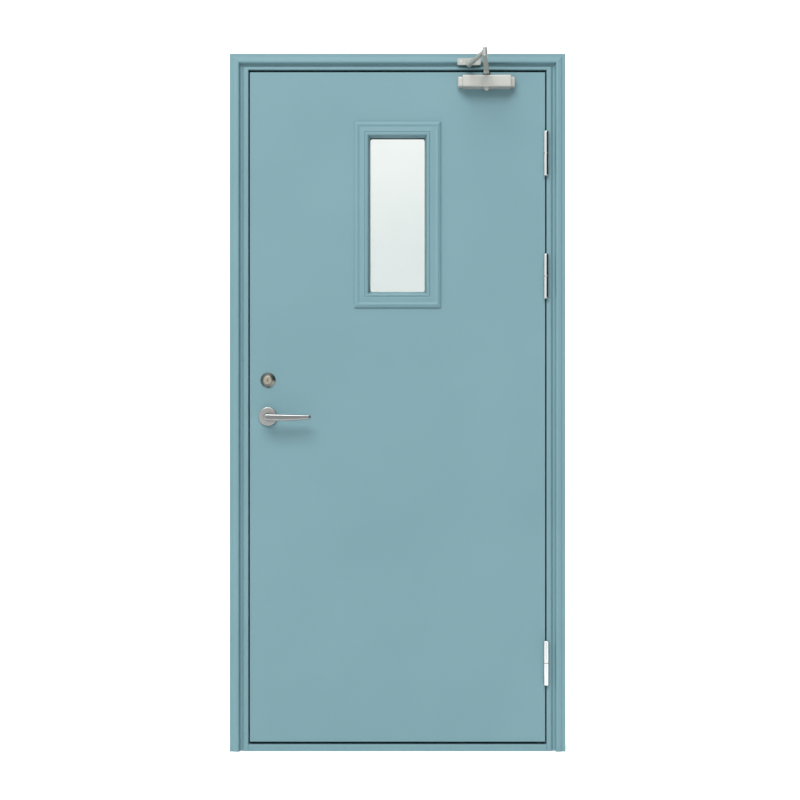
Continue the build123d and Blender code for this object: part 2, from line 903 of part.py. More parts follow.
with BuildPart() as bottom_channel:
    add(leaf_channel(core_bottom, -1))
bottom_channel.part.label = "bottom_channel"
export_step(bottom_channel.part, "parts/bottom_channel.step")

# Vision panel
with BuildPart() as aperture_lining:
    with Locations((0, 0, panel_centre_z)):
        Box(2 * aperture_x, leaf_thickness, 2 * aperture_z)
    cut_aperture(aperture_x - lining_sheet, aperture_z - lining_sheet)
aperture_lining.part.label = "aperture_lining"
export_step(aperture_lining.part, "parts/aperture_lining.step")

pane_x = aperture_x - lining_sheet - pane_clearance
pane_z = aperture_z - lining_sheet - pane_clearance
with BuildPart() as glass_pane:
    with Locations((0, 0, panel_centre_z)):
        Box(2 * pane_x, pane_thickness, 2 * pane_z)
glass_pane.part.label = "glass_pane"
export_step(glass_pane.part, "parts/glass_pane.step")

with BuildPart() as setting_blocks:
    with Locations(
        [
            (side * setting_block_place, 0, panel_centre_z - aperture_z + lining_sheet)
            for side in (-1, 1)
        ]
    ):
        Box(
            setting_block_length,
            pane_thickness,
            pane_clearance,
            align=(Align.CENTER, Align.CENTER, Align.MIN),
        )
setting_blocks.part.label = "setting_blocks"
export_step(setting_blocks.part, "parts/setting_blocks.step")

gasket_front = -pane_thickness / 2 - gasket_thickness
with BuildPart() as glazing_gaskets:
    for gasket_y in (gasket_front, pane_thickness / 2):
        with BuildSketch(Plane.XZ.offset(-gasket_y - gasket_thickness)):
            with Locations((0, panel_centre_z)):
                Rectangle(2 * (sight_x + gasket_width), 2 * (sight_z + gasket_width))
                RectangleRounded(
                    2 * (sight_x - gasket_ledge),
                    2 * (sight_z - gasket_ledge),
                    gasket_corner,
                    mode=Mode.SUBTRACT,
                )
        extrude(amount=gasket_thickness)
glazing_gaskets.part.label = "glazing_gaskets"
export_step(glazing_gaskets.part, "parts/glazing_gaskets.step")

# The glazing frame's rolled outline: distance in from its outer edge, and height off the skin
bead_steps = (
    (0, 0),
    (0, 5),
    (9, 9.5),
    (16, 7),
    (30, 8),
    (32, 6),
    (36, 9.5),
    (bead_width, 8),
    (bead_width + gasket_ledge, leaf_front - gasket_front + bead_foot),
    (bead_width + gasket_ledge, leaf_front - gasket_front),
)


def glazing_bar(outer_offset, half_length, upright):
    # One mitred side of the front glazing frame, with its outer edge at the offset from the centre
    plane = Plane.XY if upright else Plane.ZY
    start = plane.offset(-half_length)
    with BuildPart(mode=Mode.PRIVATE) as bar:
        with BuildSketch(start):
            with BuildLine():
                FilletPolyline(
                    [(outer_offset - inward, leaf_front - height) for inward, height in bead_steps],
                    radius=bead_bend,
                )
                offset(amount=bead_sheet, side=Side.RIGHT)
            make_face()
        extrude(amount=2 * half_length)
        corner = half_length if upright else outer_offset
        across = outer_offset if upright else half_length
        for end in (-1, 1):
            if upright:
                mitre = Plane(origin=(across, 0, end * corner), z_dir=(1, 0, -end))
            else:
                mitre = Plane(origin=(end * across, 0, corner), z_dir=(-end, 0, 1))
            split(bisect_by=mitre, keep=Keep.TOP)
    return bar.part


frame_outer_x = sight_x + bead_width
frame_outer_z = sight_z + bead_width
upright_bar = glazing_bar(frame_outer_x, frame_outer_z, True)
level_bar = glazing_bar(frame_outer_z, frame_outer_x, False)

with BuildPart() as front_glazing_frame:
    with Locations((0, 0, panel_centre_z)):
        add(upright_bar)
        add(upright_bar.mirror(Plane.YZ))
        add(level_bar)
        add(level_bar.mirror(Plane.XY))
front_glazing_frame.part.label = "front_glazing_frame"
export_step(front_glazing_frame.part, "parts/front_glazing_frame.step")

with BuildPart() as back_glazing_frame:
    mirror(front_glazing_frame.part, about=Plane.XZ)
back_glazing_frame.part.label = "back_glazing_frame"
export_step(back_glazing_frame.part, "parts/back_glazing_frame.step")

# Lock
with BuildPart() as lock_faceplate:
    with Locations((-leaf_x, 0, faceplate_centre_z)):
        Box(
            faceplate_thickness,
            faceplate_width,
            faceplate_height,
            align=(Align.MIN, Align.CENTER, Align.CENTER),
        )
    with Locations((-leaf_x, 0, lever_z)):
        Box(
            3 * faceplate_thickness,
            latch_width + 2 * bolt_clearance,
            latch_height + 2 * bolt_clearance,
            mode=Mode.SUBTRACT,
        )
    with Locations((-leaf_x, 0, deadbolt_z)):
        Box(
            3 * faceplate_thickness,
            deadbolt_width + 2 * bolt_clearance,
            deadbolt_height + 2 * bolt_clearance,
            mode=Mode.SUBTRACT,
        )
    with Locations([facing(-leaf_x, 0, z, (-1, 0, 0)) for z in faceplate_screw_heights]):
        CounterSinkHole(screw_radius, screw_head_radius, depth=faceplate_thickness)
lock_faceplate.part.label = "lock_faceplate"
export_step(lock_faceplate.part, "parts/lock_faceplate.step")

faceplate_screw = countersunk_screw(hinge_screw_length)
with BuildPart() as faceplate_screws:
    with Locations([facing(-leaf_x, 0, z, (-1, 0, 0)) for z in faceplate_screw_heights]):
        add(faceplate_screw)
faceplate_screws.part.label = "faceplate_screws"
export_step(faceplate_screws.part, "parts/faceplate_screws.step")

with BuildPart() as lock_case:
    with Locations((face_x, 0, faceplate_centre_z)):
        Box(
            case_depth, case_width, case_height, align=(Align.MIN, Align.CENTER, Align.CENTER)
        )
        Box(
            case_depth - case_wall,
            case_width - 2 * case_wall,
            case_height - 2 * case_wall,
            align=(Align.MIN, Align.CENTER, Align.CENTER),
            mode=Mode.SUBTRACT,
        )
    cut_through(neck_radius, lock_x, lever_z)
    cut_through(cylinder_hole_radius, lock_x, cylinder_z)
lock_case.part.label = "lock_case"
export_step(lock_case.part, "parts/lock_case.step")

# The latch bolt: a bevelled head and a notched tail that the follower's finger pulls back
latch_tip_x = -leaf_x - latch_throw
latch_back_x = latch_tip_x + latch_head_length
tail_bottom = lever_z + follower_radius + tail_over_follower
tail_top = lever_z + follower_reach + tail_over_finger
tail_end_x = lock_x + follower_reach - latch_tail_short
latch_notch_start = lock_x - latch_notch_offset - latch_notch_half
latch_notch_end = latch_notch_start + 2 * latch_notch_half
with BuildPart() as latch_bolt:
    with BuildSketch(Plane.XY.offset(lever_z - latch_height / 2)):
        with BuildLine():
            Polyline(
                (latch_back_x, -latch_width / 2),
                (latch_tip_x + latch_throw - tail_over_follower, -latch_width / 2),
                (latch_tip_x, latch_width / 2 - latch_edge_flat),
                (latch_tip_x, latch_width / 2),
                (latch_back_x, latch_width / 2),
                close=True,
            )
        make_face()
    extrude(amount=latch_height)
    with BuildSketch(Plane.XZ.offset(-tail_thickness / 2)):
        with BuildLine():
            Polyline(
                (latch_back_x, lever_z - latch_height / 2),
                (latch_back_x + latch_throw, lever_z - latch_height / 2),
                (latch_back_x + latch_throw, tail_bottom),
                (latch_notch_start, tail_bottom),
                (latch_notch_start, tail_top - tail_band),
                (latch_notch_end, tail_top - tail_band),
                (latch_notch_end, tail_bottom),
                (tail_end_x, tail_bottom),
                (tail_end_x, tail_top),
                (latch_back_x, tail_top),
                close=True,
            )
        make_face()
    extrude(amount=tail_thickness)
latch_bolt.part.label = "latch_bolt"
export_step(latch_bolt.part, "parts/latch_bolt.step")

# The deadbolt: a plain head and a tail notched on top for the cam's finger
deadbolt_back_x = -leaf_x + deadbolt_length
deadbolt_notch_start = lock_x + deadbolt_notch_start_offset
deadbolt_notch_end = deadbolt_notch_start + deadbolt_notch_length
with BuildPart() as deadbolt:
    with Locations((-leaf_x, 0, deadbolt_z)):
        Box(
            deadbolt_length,
            deadbolt_width,
            deadbolt_height,
            align=(Align.MIN, Align.CENTER, Align.CENTER),
        )
    with Locations((deadbolt_back_x, 0, deadbolt_z)):
        Box(
            deadbolt_notch_end + deadbolt_tail_lip - deadbolt_back_x,
            tail_thickness,
            deadbolt_height,
            align=(Align.MIN, Align.CENTER, Align.CENTER),
        )
    with Locations((deadbolt_notch_start, 0, deadbolt_z + deadbolt_height / 2)):
        Box(
            deadbolt_notch_length,
            2 * tail_thickness,
            2 * deadbolt_notch_depth,
            align=(Align.MIN, Align.CENTER, Align.CENTER),
            mode=Mode.SUBTRACT,
        )
deadbolt.part.label = "deadbolt"
export_step(deadbolt.part, "parts/deadbolt.step")

# The follower: a hub on the square spindle with a finger that leans away from the latch's travel
with BuildPart() as lever_follower:
    with BuildSketch(Plane.XZ.offset(-tail_thickness / 2)):
        with Locations((lock_x, lever_z)):
            Circle(follower_radius)
        with Locations(Location((lock_x, lever_z), follower_lean)):
            with Locations((0, follower_reach / 2)):
                Rectangle(follower_finger_width, follower_reach)
    extrude(amount=tail_thickness)
    with BuildSketch(Plane.XZ.offset(case_wall + follower_play - case_width / 2)):
        with Locations((lock_x, lever_z)):
            Circle(follower_radius)
    extrude(amount=case_width - 2 * (case_wall + follower_play))
    with BuildSketch(Plane.XZ.offset(-leaf_thickness)):
        with Locations((lock_x, lever_z)):
            Rectangle(spindle_width + spindle_fit, spindle_width + spindle_fit)
    extrude(amount=2 * leaf_thickness, mode=Mode.SUBTRACT)
lever_follower.part.label = "lever_follower"
export_step(lever_follower.part, "parts/lever_follower.step")

with BuildPart() as lever_spindle:
    with Locations((lock_x, 0, lever_z)):
        Box(spindle_width, spindle_length, spindle_width)
lever_spindle.part.label = "lever_spindle"
export_step(lever_spindle.part, "parts/lever_spindle.step")

# Levers and roses, front ones modelled and mirrored to the back
with BuildPart() as front_rose:
    with BuildSketch(Plane.XZ.offset(-leaf_front)):
        with Locations((lock_x, lever_z)):
            Circle(rose_radius)
    extrude(amount=rose_thickness)
    fillet(front_rose.faces().sort_by(Axis.Y)[0].edges(), radius=rose_edge)
    cut_through(neck_radius + neck_clearance, lock_x, lever_z)
front_rose.part.label = "front_rose"
export_step(front_rose.part, "parts/front_rose.step")

with BuildPart() as back_rose:
    mirror(front_rose.part, about=Plane.XZ)
back_rose.part.label = "back_rose"
export_step(back_rose.part, "parts/back_rose.step")

blade_back = -leaf_front + lever_standoff - blade_thickness
with BuildPart() as front_lever:
    with BuildSketch(Plane.XZ.offset(blade_back)):
        with BuildLine():
            top = Line(
                (lock_x, lever_z + blade_root_top),
                (lock_x + lever_reach - blade_tip_run, lever_z + blade_tip_top),
            )
            tip = ThreePointArc(
                top @ 1,
                (lock_x + lever_reach, lever_z + blade_tip_middle),
                (lock_x + lever_reach - blade_tip_return, lever_z - blade_tip_bottom),
            )
            under = Spline(
                tip @ 1,
                (lock_x + 0.75 * lever_reach, lever_z - blade_belly_far),
                (lock_x + 0.4 * lever_reach, lever_z - blade_belly_near),
                (lock_x, lever_z - blade_root_bottom),
            )
            ThreePointArc(
                under @ 1, (lock_x - blade_root_back, lever_z - blade_root_middle), top @ 0
            )
        make_face()
    extrude(amount=blade_thickness)
    fillet(front_lever.faces().filter_by(Axis.Y).edges(), radius=blade_round)
    with BuildSketch(Plane.XZ.offset(neck_into_leaf - leaf_front)):
        with Locations((lock_x, lever_z)):
            Circle(neck_radius)
    extrude(amount=lever_standoff - blade_thickness / 2)
    with Locations((lock_x, 0, lever_z)):
        Box(
            spindle_width + spindle_fit,
            spindle_length + spindle_fit,
            spindle_width + spindle_fit,
            mode=Mode.SUBTRACT,
        )
front_lever.part.label = "front_lever"
export_step(front_lever.part, "parts/front_lever.step")

with BuildPart() as back_lever:
    mirror(front_lever.part, about=Plane.XZ)
back_lever.part.label = "back_lever"
export_step(back_lever.part, "parts/back_lever.step")

# Cylinder, its escutcheons and the thumbturn
cylinder_front = -leaf_front + escutcheon_thickness + cylinder_proud
cylinder_back_y = cam_thickness / 2 + cam_clearance
with BuildPart() as front_escutcheon:
    with BuildSketch(Plane.XZ.offset(-leaf_front)):
        with Locations((lock_x, cylinder_z)):
            Circle(escutcheon_radius)
    extrude(amount=escutcheon_thickness, taper=escutcheon_taper)
    cut_through(cylinder_radius + spindle_fit, lock_x, cylinder_z)
front_escutcheon.part.label = "front_escutcheon"
export_step(front_escutcheon.part, "parts/front_escutcheon.step")

with BuildPart() as back_escutcheon:
    with BuildSketch(Plane.XZ.offset(-leaf_back)):
        with Locations((lock_x, cylinder_z)):
            Circle(escutcheon_radius)
    extrude(amount=-rose_thickness)
    fillet(back_escutcheon.faces().sort_by(Axis.Y)[-1].edges(), radius=rose_edge)
    cut_through(plug_radius + neck_clearance, lock_x, cylinder_z)
back_escutcheon.part.label = "back_escutcheon"
export_step(back_escutcheon.part, "parts/back_escutcheon.step")

with BuildPart() as cylinder_housing:
    with BuildSketch(Plane.XZ.offset(cylinder_back_y)):
        with Locations((lock_x, cylinder_z)):
            Circle(cylinder_radius)
            Circle(plug_radius + plug_fit, mode=Mode.SUBTRACT)
    extrude(amount=cylinder_front - cylinder_back_y)
    chamfer(cylinder_housing.faces().sort_by(Axis.Y)[0].outer_wire().edges(), length=cylinder_edge)
cylinder_housing.part.label = "cylinder_housing"
export_step(cylinder_housing.part, "parts/cylinder_housing.step")

with BuildPart() as key_plug:
    with BuildSketch(Plane.XZ.offset(cam_thickness / 2)):
        with Locations((lock_x, cylinder_z)):
            Circle(plug_radius)
    extrude(amount=cylinder_front - plug_sunk - cam_thickness / 2)
    with BuildSketch(Plane.XZ.offset(cylinder_front - keyway_depth)):
        with Locations((lock_x, cylinder_z)):
            Rectangle(keyway_width, keyway_height)
    extrude(amount=keyway_depth, mode=Mode.SUBTRACT)
key_plug.part.label = "key_plug"
export_step(key_plug.part, "parts/key_plug.step")

with BuildPart() as cylinder_cam:
    with BuildSketch(Plane.XZ.offset(-cam_thickness / 2)):
        with Locations((lock_x, cylinder_z)):
            Circle(cam_radius)
        with Locations(Location((lock_x, cylinder_z), 45)):
            with Locations((0, -cam_reach / 2)):
                Rectangle(follower_finger_width, cam_reach)
    extrude(amount=cam_thickness)
cylinder_cam.part.label = "cylinder_cam"
export_step(cylinder_cam.part, "parts/cylinder_cam.step")

thumbturn_y = leaf_back + rose_thickness + neck_clearance
with BuildPart() as thumbturn:
    with BuildSketch(Plane.XZ.offset(-cam_thickness / 2)):
        with Locations((lock_x, cylinder_z)):
            Circle(plug_radius)
    extrude(amount=cam_thickness / 2 - thumbturn_y - thumbturn_collar)
    with BuildSketch(Plane.XZ.offset(-thumbturn_y)):
        with Locations((lock_x, cylinder_z)):
            Circle(thumbturn_radius)
    extrude(amount=-thumbturn_collar)
    with BuildSketch(Plane.XZ.offset(-thumbturn_y - thumbturn_collar)):
        with Locations((lock_x, cylinder_z)):
            SlotOverall(thumbturn_grip_height, thumbturn_grip, rotation=90)
    extrude(amount=-thumbturn_length)
thumbturn.part.label = "thumbturn"
export_step(thumbturn.part, "parts/thumbturn.step")

# Closer
closer_y = leaf_front - closer_depth / 2
closer_bottom = closer_top - closer_height


def closer_outline(depth, height):
    # The outline across the closer's length, in Y and Z, with its front bevelled above and below
    front = leaf_front - depth
    top = closer_centre_z + height / 2
    bottom = closer_centre_z - height / 2
    return (
        (leaf_front, top),
        (front + closer_bevel, top),
        (front, top - closer_bevel),
        (front, bottom + closer_bevel),
        (front + closer_bevel, bottom),
        (leaf_front, bottom),
    )


# Its body has a screwed foot at each end, and the end caps cover them.
with BuildPart() as closer_body:
    with BuildSketch(Plane.YZ.offset(closer_x - body_length / 2)):
        with BuildLine():
            Polyline(closer_outline(closer_depth, closer_height), close=True)
        make_face()
    extrude(amount=body_length)
    with Locations((closer_x, closer_y, closer_bottom)):
        Cylinder(boss_radius, boss_height, align=(Align.CENTER, Align.CENTER, Align.MAX))
    with BuildSketch(Plane.YZ.offset(closer_x - body_length / 2)):
        with Locations((closer_y, closer_centre_z)):
            Circle(closer_bore_radius)
    extrude(amount=body_length, mode=Mode.SUBTRACT)
    with Locations((closer_x, closer_y, closer_centre_z)):
        Cylinder(shaft_radius + shaft_clearance, 2 * closer_height, mode=Mode.SUBTRACT)
    with Locations(
        [
            (closer_x - (body_length + foot_length) / 2, leaf_front, closer_centre_z),
            (closer_x + (body_length + foot_length) / 2, leaf_front, closer_centre_z),
        ]
    ):
        Box(
            foot_length,
            foot_thickness,
            end_cap_height - 2 * (end_cap_wall + foot_margin),
            align=(Align.CENTER, Align.MAX, Align.CENTER),
        )
    with Locations(
        [facing(x, leaf_front - foot_thickness, z, (0, -1, 0)) for x, z in closer_screw_places]
    ):
        CounterSinkHole(screw_radius, screw_head_radius, depth=foot_thickness)
closer_body.part.label = "closer_body"
export_step(closer_body.part, "parts/closer_body.step")

with BuildPart() as closer_end_caps:
    for side in (-1, 1):
        with BuildSketch(Plane.YZ.offset(closer_x + side * body_length / 2)):
            with BuildLine():
                Polyline(closer_outline(end_cap_depth, end_cap_height), close=True)
            make_face()
        extrude(amount=side * end_cap_length)
        with BuildSketch(Plane.YZ.offset(closer_x + side * body_length / 2)):
            with BuildLine():
                Polyline(closer_outline(end_cap_depth, end_cap_height), close=True)
            make_face()
            offset(amount=-end_cap_wall, kind=Kind.INTERSECTION, mode=Mode.REPLACE)
            with Locations((leaf_front, closer_centre_z)):
                Rectangle(4 * end_cap_wall, end_cap_height - 2 * end_cap_wall)
        extrude(amount=side * (end_cap_length - end_cap_wall), mode=Mode.SUBTRACT)
closer_end_caps.part.label = "closer_end_caps"
export_step(closer_end_caps.part, "parts/closer_end_caps.step")

with BuildPart() as closer_bore_plugs:
    for side in (-1, 1):
        with BuildSketch(Plane.YZ.offset(closer_x + side * body_length / 2)):
            with Locations((closer_y, closer_centre_z)):
                Circle(closer_bore_radius)
                RegularPolygon(plug_thickness, 6, mode=Mode.SUBTRACT)
        extrude(amount=-side * plug_thickness)
closer_bore_plugs.part.label = "closer_bore_plugs"
export_step(closer_bore_plugs.part, "parts/closer_bore_plugs.step")

closer_screw = countersunk_screw(foot_thickness + skin_sheet + closer_plate_thickness)
with BuildPart() as closer_screws:
    with Locations(
        [facing(x, leaf_front - foot_thickness, z, (0, -1, 0)) for x, z in closer_screw_places]
    ):
        add(closer_screw)
closer_screws.part.label = "closer_screws"
export_step(closer_screws.part, "parts/closer_screws.step")

boss_bottom = closer_bottom - boss_height
with BuildPart() as closer_bottom_cap:
    with BuildSketch(Plane.XZ.offset(-closer_y)):
        with BuildLine():
            Polyline(
                (closer_x, boss_bottom - bottom_cap_height),
                (closer_x + bottom_cap_flat, boss_bottom - bottom_cap_height + bottom_cap_crown),
                (closer_x + bottom_cap_radius, boss_bottom),
                (closer_x, boss_bottom),
                close=True,
            )
        make_face()
    revolve(axis=Axis((closer_x, closer_y, 0), (0, 0, 1)))
closer_bottom_cap.part.label = "closer_bottom_cap"
export_step(closer_bottom_cap.part, "parts/closer_bottom_cap.step")

with BuildPart() as closer_backing_plate:
    with Locations((closer_x, leaf_front + skin_sheet, closer_centre_z)):
        Box(
            closer_length,
            closer_plate_thickness,
            closer_plate_height,
            align=(Align.CENTER, Align.MIN, Align.CENTER),
        )
    with Locations(
        [facing(x, leaf_front + skin_sheet, z, (0, -1, 0)) for x, z in closer_screw_places]
    ):
        Hole(screw_radius, depth=closer_plate_thickness)
closer_backing_plate.part.label = "closer_backing_plate"
export_step(closer_backing_plate.part, "parts/closer_backing_plate.step")

# The piston slides in the bore. A rack in its window meshes with the pinion over the whole stroke.
piston_x = closer_x + piston_rest_offset
rack_pitch = math.pi * gear_module
rack_line_y = closer_y - pitch_radius
rack_root_y = rack_line_y - gear_module - gear_clearance
rack_lean = math.tan(math.radians(gear_pressure))
rack_half_tooth = rack_pitch / 4 - gear_backlash / 2
rack_tip = rack_half_tooth - gear_module * rack_lean
rack_foot = rack_half_tooth + (rack_line_y - rack_root_y) * rack_lean
window_far_y = closer_y + tip_radius + piston_far_room
with BuildPart() as closer_piston:
    with BuildSketch(Plane.YZ.offset(piston_x - piston_length / 2)):
        with Locations((closer_y, closer_centre_z)):
            Circle(closer_bore_radius - piston_fit)
    extrude(amount=piston_length)
    with Locations((piston_x, rack_root_y, closer_centre_z)):
        Box(
            piston_window_length,
            window_far_y - rack_root_y,
            2 * closer_bore_radius,
            align=(Align.CENTER, Align.MIN, Align.CENTER),
            mode=Mode.SUBTRACT,
        )
    with BuildSketch(Plane.XY.offset(closer_centre_z - rack_height / 2)):
        for i in range(rack_teeth):
            tooth_x = closer_x + (i - rack_teeth_behind + 0.5) * rack_pitch
            with BuildLine():
                Polyline(
                    (tooth_x - rack_foot, rack_root_y),
                    (tooth_x - rack_tip, rack_line_y + gear_module),
                    (tooth_x + rack_tip, rack_line_y + gear_module),
                    (tooth_x + rack_foot, rack_root_y),
                    close=True,
                )
            make_face()
    extrude(amount=rack_height)
closer_piston.part.label = "closer_piston"
export_step(closer_piston.part, "parts/closer_piston.step")

spring_start = closer_x - body_length / 2 + plug_thickness
spring_length = piston_x - piston_length / 2 - spring_start - spring_wire - 2 * neck_clearance
with BuildPart() as closer_spring:
    with BuildLine() as coil:
        Helix(
            pitch=spring_length / spring_turns,
            height=spring_length,
            radius=closer_bore_radius - spring_wire,
            center=(spring_start + spring_wire / 2 + neck_clearance, closer_y, closer_centre_z),
            direction=(1, 0, 0),
        )
    with BuildSketch(Plane(origin=coil.line @ 0, z_dir=coil.line % 0)):
        Circle(spring_wire / 2)
    sweep(path=coil.line, is_frenet=True)
closer_spring.part.label = "closer_spring"
export_step(closer_spring.part, "parts/closer_spring.step")

shaft_bottom = boss_bottom + shaft_sunk
base_radius = pitch_radius * math.cos(math.radians(gear_pressure))
flank_radii = [base_radius + (tip_radius - base_radius) * i / 4 for i in range(5)]


def involute(angle):
    return math.tan(angle) - angle


def half_tooth_angle(radius):
    # Half of the tooth's angular width at a radius on its involute flank
    at_pitch = math.pi / (2 * gear_teeth) - gear_backlash / (2 * pitch_radius)
    flank = involute(math.radians(gear_pressure)) - involute(math.acos(base_radius / radius))
    return at_pitch + flank


def tooth_point(radius, angle):
    return (radius * math.cos(angle), radius * math.sin(angle))


with BuildSketch() as pinion_tooth:
    with BuildLine():
        left = Spline([tooth_point(r, half_tooth_angle(r)) for r in flank_radii])
        right = Spline([tooth_point(r, -half_tooth_angle(r)) for r in flank_radii])
        ThreePointArc(left @ 1, (tip_radius, 0), right @ 1)
        Polyline(left @ 0, (shaft_radius / 2, 0), right @ 0)
    make_face()

with BuildPart() as closer_pinion:
    with Locations((closer_x, closer_y, shaft_bottom)):
        Cylinder(
            shaft_radius,
            hub_bottom + hub_height - shaft_bottom,
            align=(Align.CENTER, Align.CENTER, Align.MIN),
        )
    with Locations((closer_x, closer_y, closer_centre_z)):
        Cylinder(root_radius, rack_height)
    with BuildSketch(Plane((closer_x, closer_y, closer_centre_z - rack_height / 2))):
        with PolarLocations(0, gear_teeth, start_angle=-90):
            add(pinion_tooth.sketch)
    extrude(amount=rack_height)
closer_pinion.part.label = "closer_pinion"
export_step(closer_pinion.part, "parts/closer_pinion.step")

# The main arm is cranked up from its hub so that its bar passes over the top of the leaf.
elbow_x = closer_x + elbow_reach[0]
elbow_y = closer_y + elbow_reach[1]
arm_length = math.hypot(*elbow_reach)
arm_angle = math.degrees(math.atan2(elbow_reach[1], elbow_reach[0]))
arm_plane = Plane(
    origin=(closer_x, closer_y, 0),
    x_dir=(elbow_reach[0], elbow_reach[1], 0),
    z_dir=(0, 0, 1),
)
riser_start = hub_radius - riser_overlap
riser_end = closer_depth / 2 - riser_short
with BuildPart() as closer_main_arm:
    with BuildSketch(arm_plane.offset(hub_bottom)):
        Circle(hub_radius)
        Circle(shaft_radius + spindle_fit, mode=Mode.SUBTRACT)
    extrude(amount=hub_height)
    with BuildSketch(arm_plane.offset(hub_bottom)):
        with Locations(((riser_start + riser_end) / 2, 0)):
            Rectangle(riser_end - riser_start, arm_width)
    extrude(amount=arm_top - hub_bottom)
    with BuildSketch(arm_plane.offset(arm_bottom)):
        with BuildLine():
            Polyline(
                (riser_start, -arm_width / 2),
                (arm_length, -elbow_head_radius),
                (arm_length, elbow_head_radius),
                (riser_start, arm_width / 2),
                close=True,
            )
        make_face()
        with Locations((arm_length, 0)):
            Circle(elbow_head_radius)
    extrude(amount=arm_thickness)
closer_main_arm.part.label = "closer_main_arm"
export_step(closer_main_arm.part, "parts/closer_main_arm.step")

nut_bottom = hub_bottom + hub_height
with BuildPart() as arm_nut:
    with BuildSketch(Plane.XY.offset(nut_bottom)):
        with Locations((closer_x, closer_y)):
            RegularPolygon(nut_radius, 6)
    extrude(amount=nut_height)
    with Locations((closer_x, closer_y, nut_bottom + nut_height)):
        Cone(nut_dome_base, nut_dome_top, nut_dome, align=(Align.CENTER, Align.CENTER, Align.MIN))
arm_nut.part.label = "arm_nut"
export_step(arm_nut.part, "parts/arm_nut.step")

# The forearm runs from the elbow post to the shoe on the frame's head.
shoe_y = crest_y - shoe_standoff
forearm_length = math.hypot(shoe_x - elbow_x, shoe_y - elbow_y)
forearm_plane = Plane(
    origin=(elbow_x, elbow_y, 0),
    x_dir=(shoe_x - elbow_x, shoe_y - elbow_y, 0),
    z_dir=(0, 0, 1),
)
with BuildPart() as closer_forearm:
    with BuildSketch(forearm_plane.offset(forearm_bottom)):
        with Locations((forearm_length / 2, 0)):
            Rectangle(forearm_length, forearm_width)
        with Locations((0, 0), (forearm_length, 0)):
            Circle(forearm_eye)
        with Locations((0, 0)):
            Circle(elbow_post_radius + spindle_fit, mode=Mode.SUBTRACT)
        with Locations((forearm_length, 0)):
            Circle(shoe_pin_radius + pin_fit, mode=Mode.SUBTRACT)
    extrude(amount=forearm_thickness)
closer_forearm.part.label = "closer_forearm"
export_step(closer_forearm.part, "parts/closer_forearm.step")

with BuildPart() as elbow_post:
    post_bottom = arm_top + elbow_clearance
    with Locations((elbow_x, elbow_y, post_bottom)):
        Cylinder(
            elbow_head_radius,
            forearm_bottom - post_bottom,
            align=(Align.CENTER, Align.CENTER, Align.MIN),
        )
        Cylinder(
            elbow_post_radius,
            forearm_top + elbow_collar - post_bottom,
            align=(Align.CENTER, Align.CENTER, Align.MIN),
        )
    with Locations((elbow_x, elbow_y, forearm_top + elbow_collar)):
        Cylinder(
            elbow_head_radius, elbow_head_height, align=(Align.CENTER, Align.CENTER, Align.MIN)
        )
elbow_post.part.label = "elbow_post"
export_step(elbow_post.part, "parts/elbow_post.step")

with BuildPart() as closer_shoe:
    with Locations((shoe_x, crest_y, shoe_z)):
        Box(
            shoe_length, shoe_plate, shoe_height, align=(Align.CENTER, Align.MAX, Align.MIN)
        )
    with BuildSketch(Plane.XY.offset(shoe_z)):
        with Locations((shoe_x, (shoe_y + crest_y) / 2)):
            Rectangle(shoe_web, shoe_standoff)
        with Locations((shoe_x, shoe_y)):
            Circle(forearm_eye)
    extrude(amount=shoe_ear)
    with Locations((shoe_x, shoe_y, shoe_z)):
        Cylinder(
            shoe_pin_radius,
            forearm_thickness + 2 * elbow_clearance,
            align=(Align.CENTER, Align.CENTER, Align.MAX),
        )
    with Locations((shoe_x, shoe_y, forearm_bottom - elbow_clearance)):
        Cylinder(
            elbow_post_radius, elbow_head_height, align=(Align.CENTER, Align.CENTER, Align.MAX)
        )
    with Locations([facing(x, shoe_face_y, shoe_screw_z, (0, -1, 0)) for x in shoe_screw_places]):
        CounterSinkHole(screw_radius, screw_head_radius, depth=shoe_plate)
closer_shoe.part.label = "closer_shoe"
export_step(closer_shoe.part, "parts/closer_shoe.step")

shoe_screw = countersunk_screw(hinge_screw_length)
with BuildPart() as shoe_screws:
    with Locations([facing(x, shoe_face_y, shoe_screw_z, (0, -1, 0)) for x in shoe_screw_places]):
        add(shoe_screw)
shoe_screws.part.label = "shoe_screws"
export_step(shoe_screws.part, "parts/shoe_screws.step")
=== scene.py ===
import json
import math
import bmesh
import bpy
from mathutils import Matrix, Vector


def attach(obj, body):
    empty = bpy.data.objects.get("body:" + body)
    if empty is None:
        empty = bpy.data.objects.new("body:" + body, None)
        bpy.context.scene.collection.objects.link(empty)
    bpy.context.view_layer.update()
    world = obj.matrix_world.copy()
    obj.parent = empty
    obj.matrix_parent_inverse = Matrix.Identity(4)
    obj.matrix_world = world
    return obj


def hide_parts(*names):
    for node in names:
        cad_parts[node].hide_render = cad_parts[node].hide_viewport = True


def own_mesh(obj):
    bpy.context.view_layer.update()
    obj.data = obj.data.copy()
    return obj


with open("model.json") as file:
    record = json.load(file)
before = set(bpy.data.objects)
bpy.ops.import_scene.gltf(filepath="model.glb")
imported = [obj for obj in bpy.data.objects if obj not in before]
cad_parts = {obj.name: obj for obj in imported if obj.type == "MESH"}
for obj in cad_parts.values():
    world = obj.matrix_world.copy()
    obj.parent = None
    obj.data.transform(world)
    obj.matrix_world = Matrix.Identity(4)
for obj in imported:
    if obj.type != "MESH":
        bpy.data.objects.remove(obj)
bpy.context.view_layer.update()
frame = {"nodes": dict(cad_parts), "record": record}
nodes = frame["nodes"]
mm = 0.001
print("frame loaded:", len(nodes), "nodes")


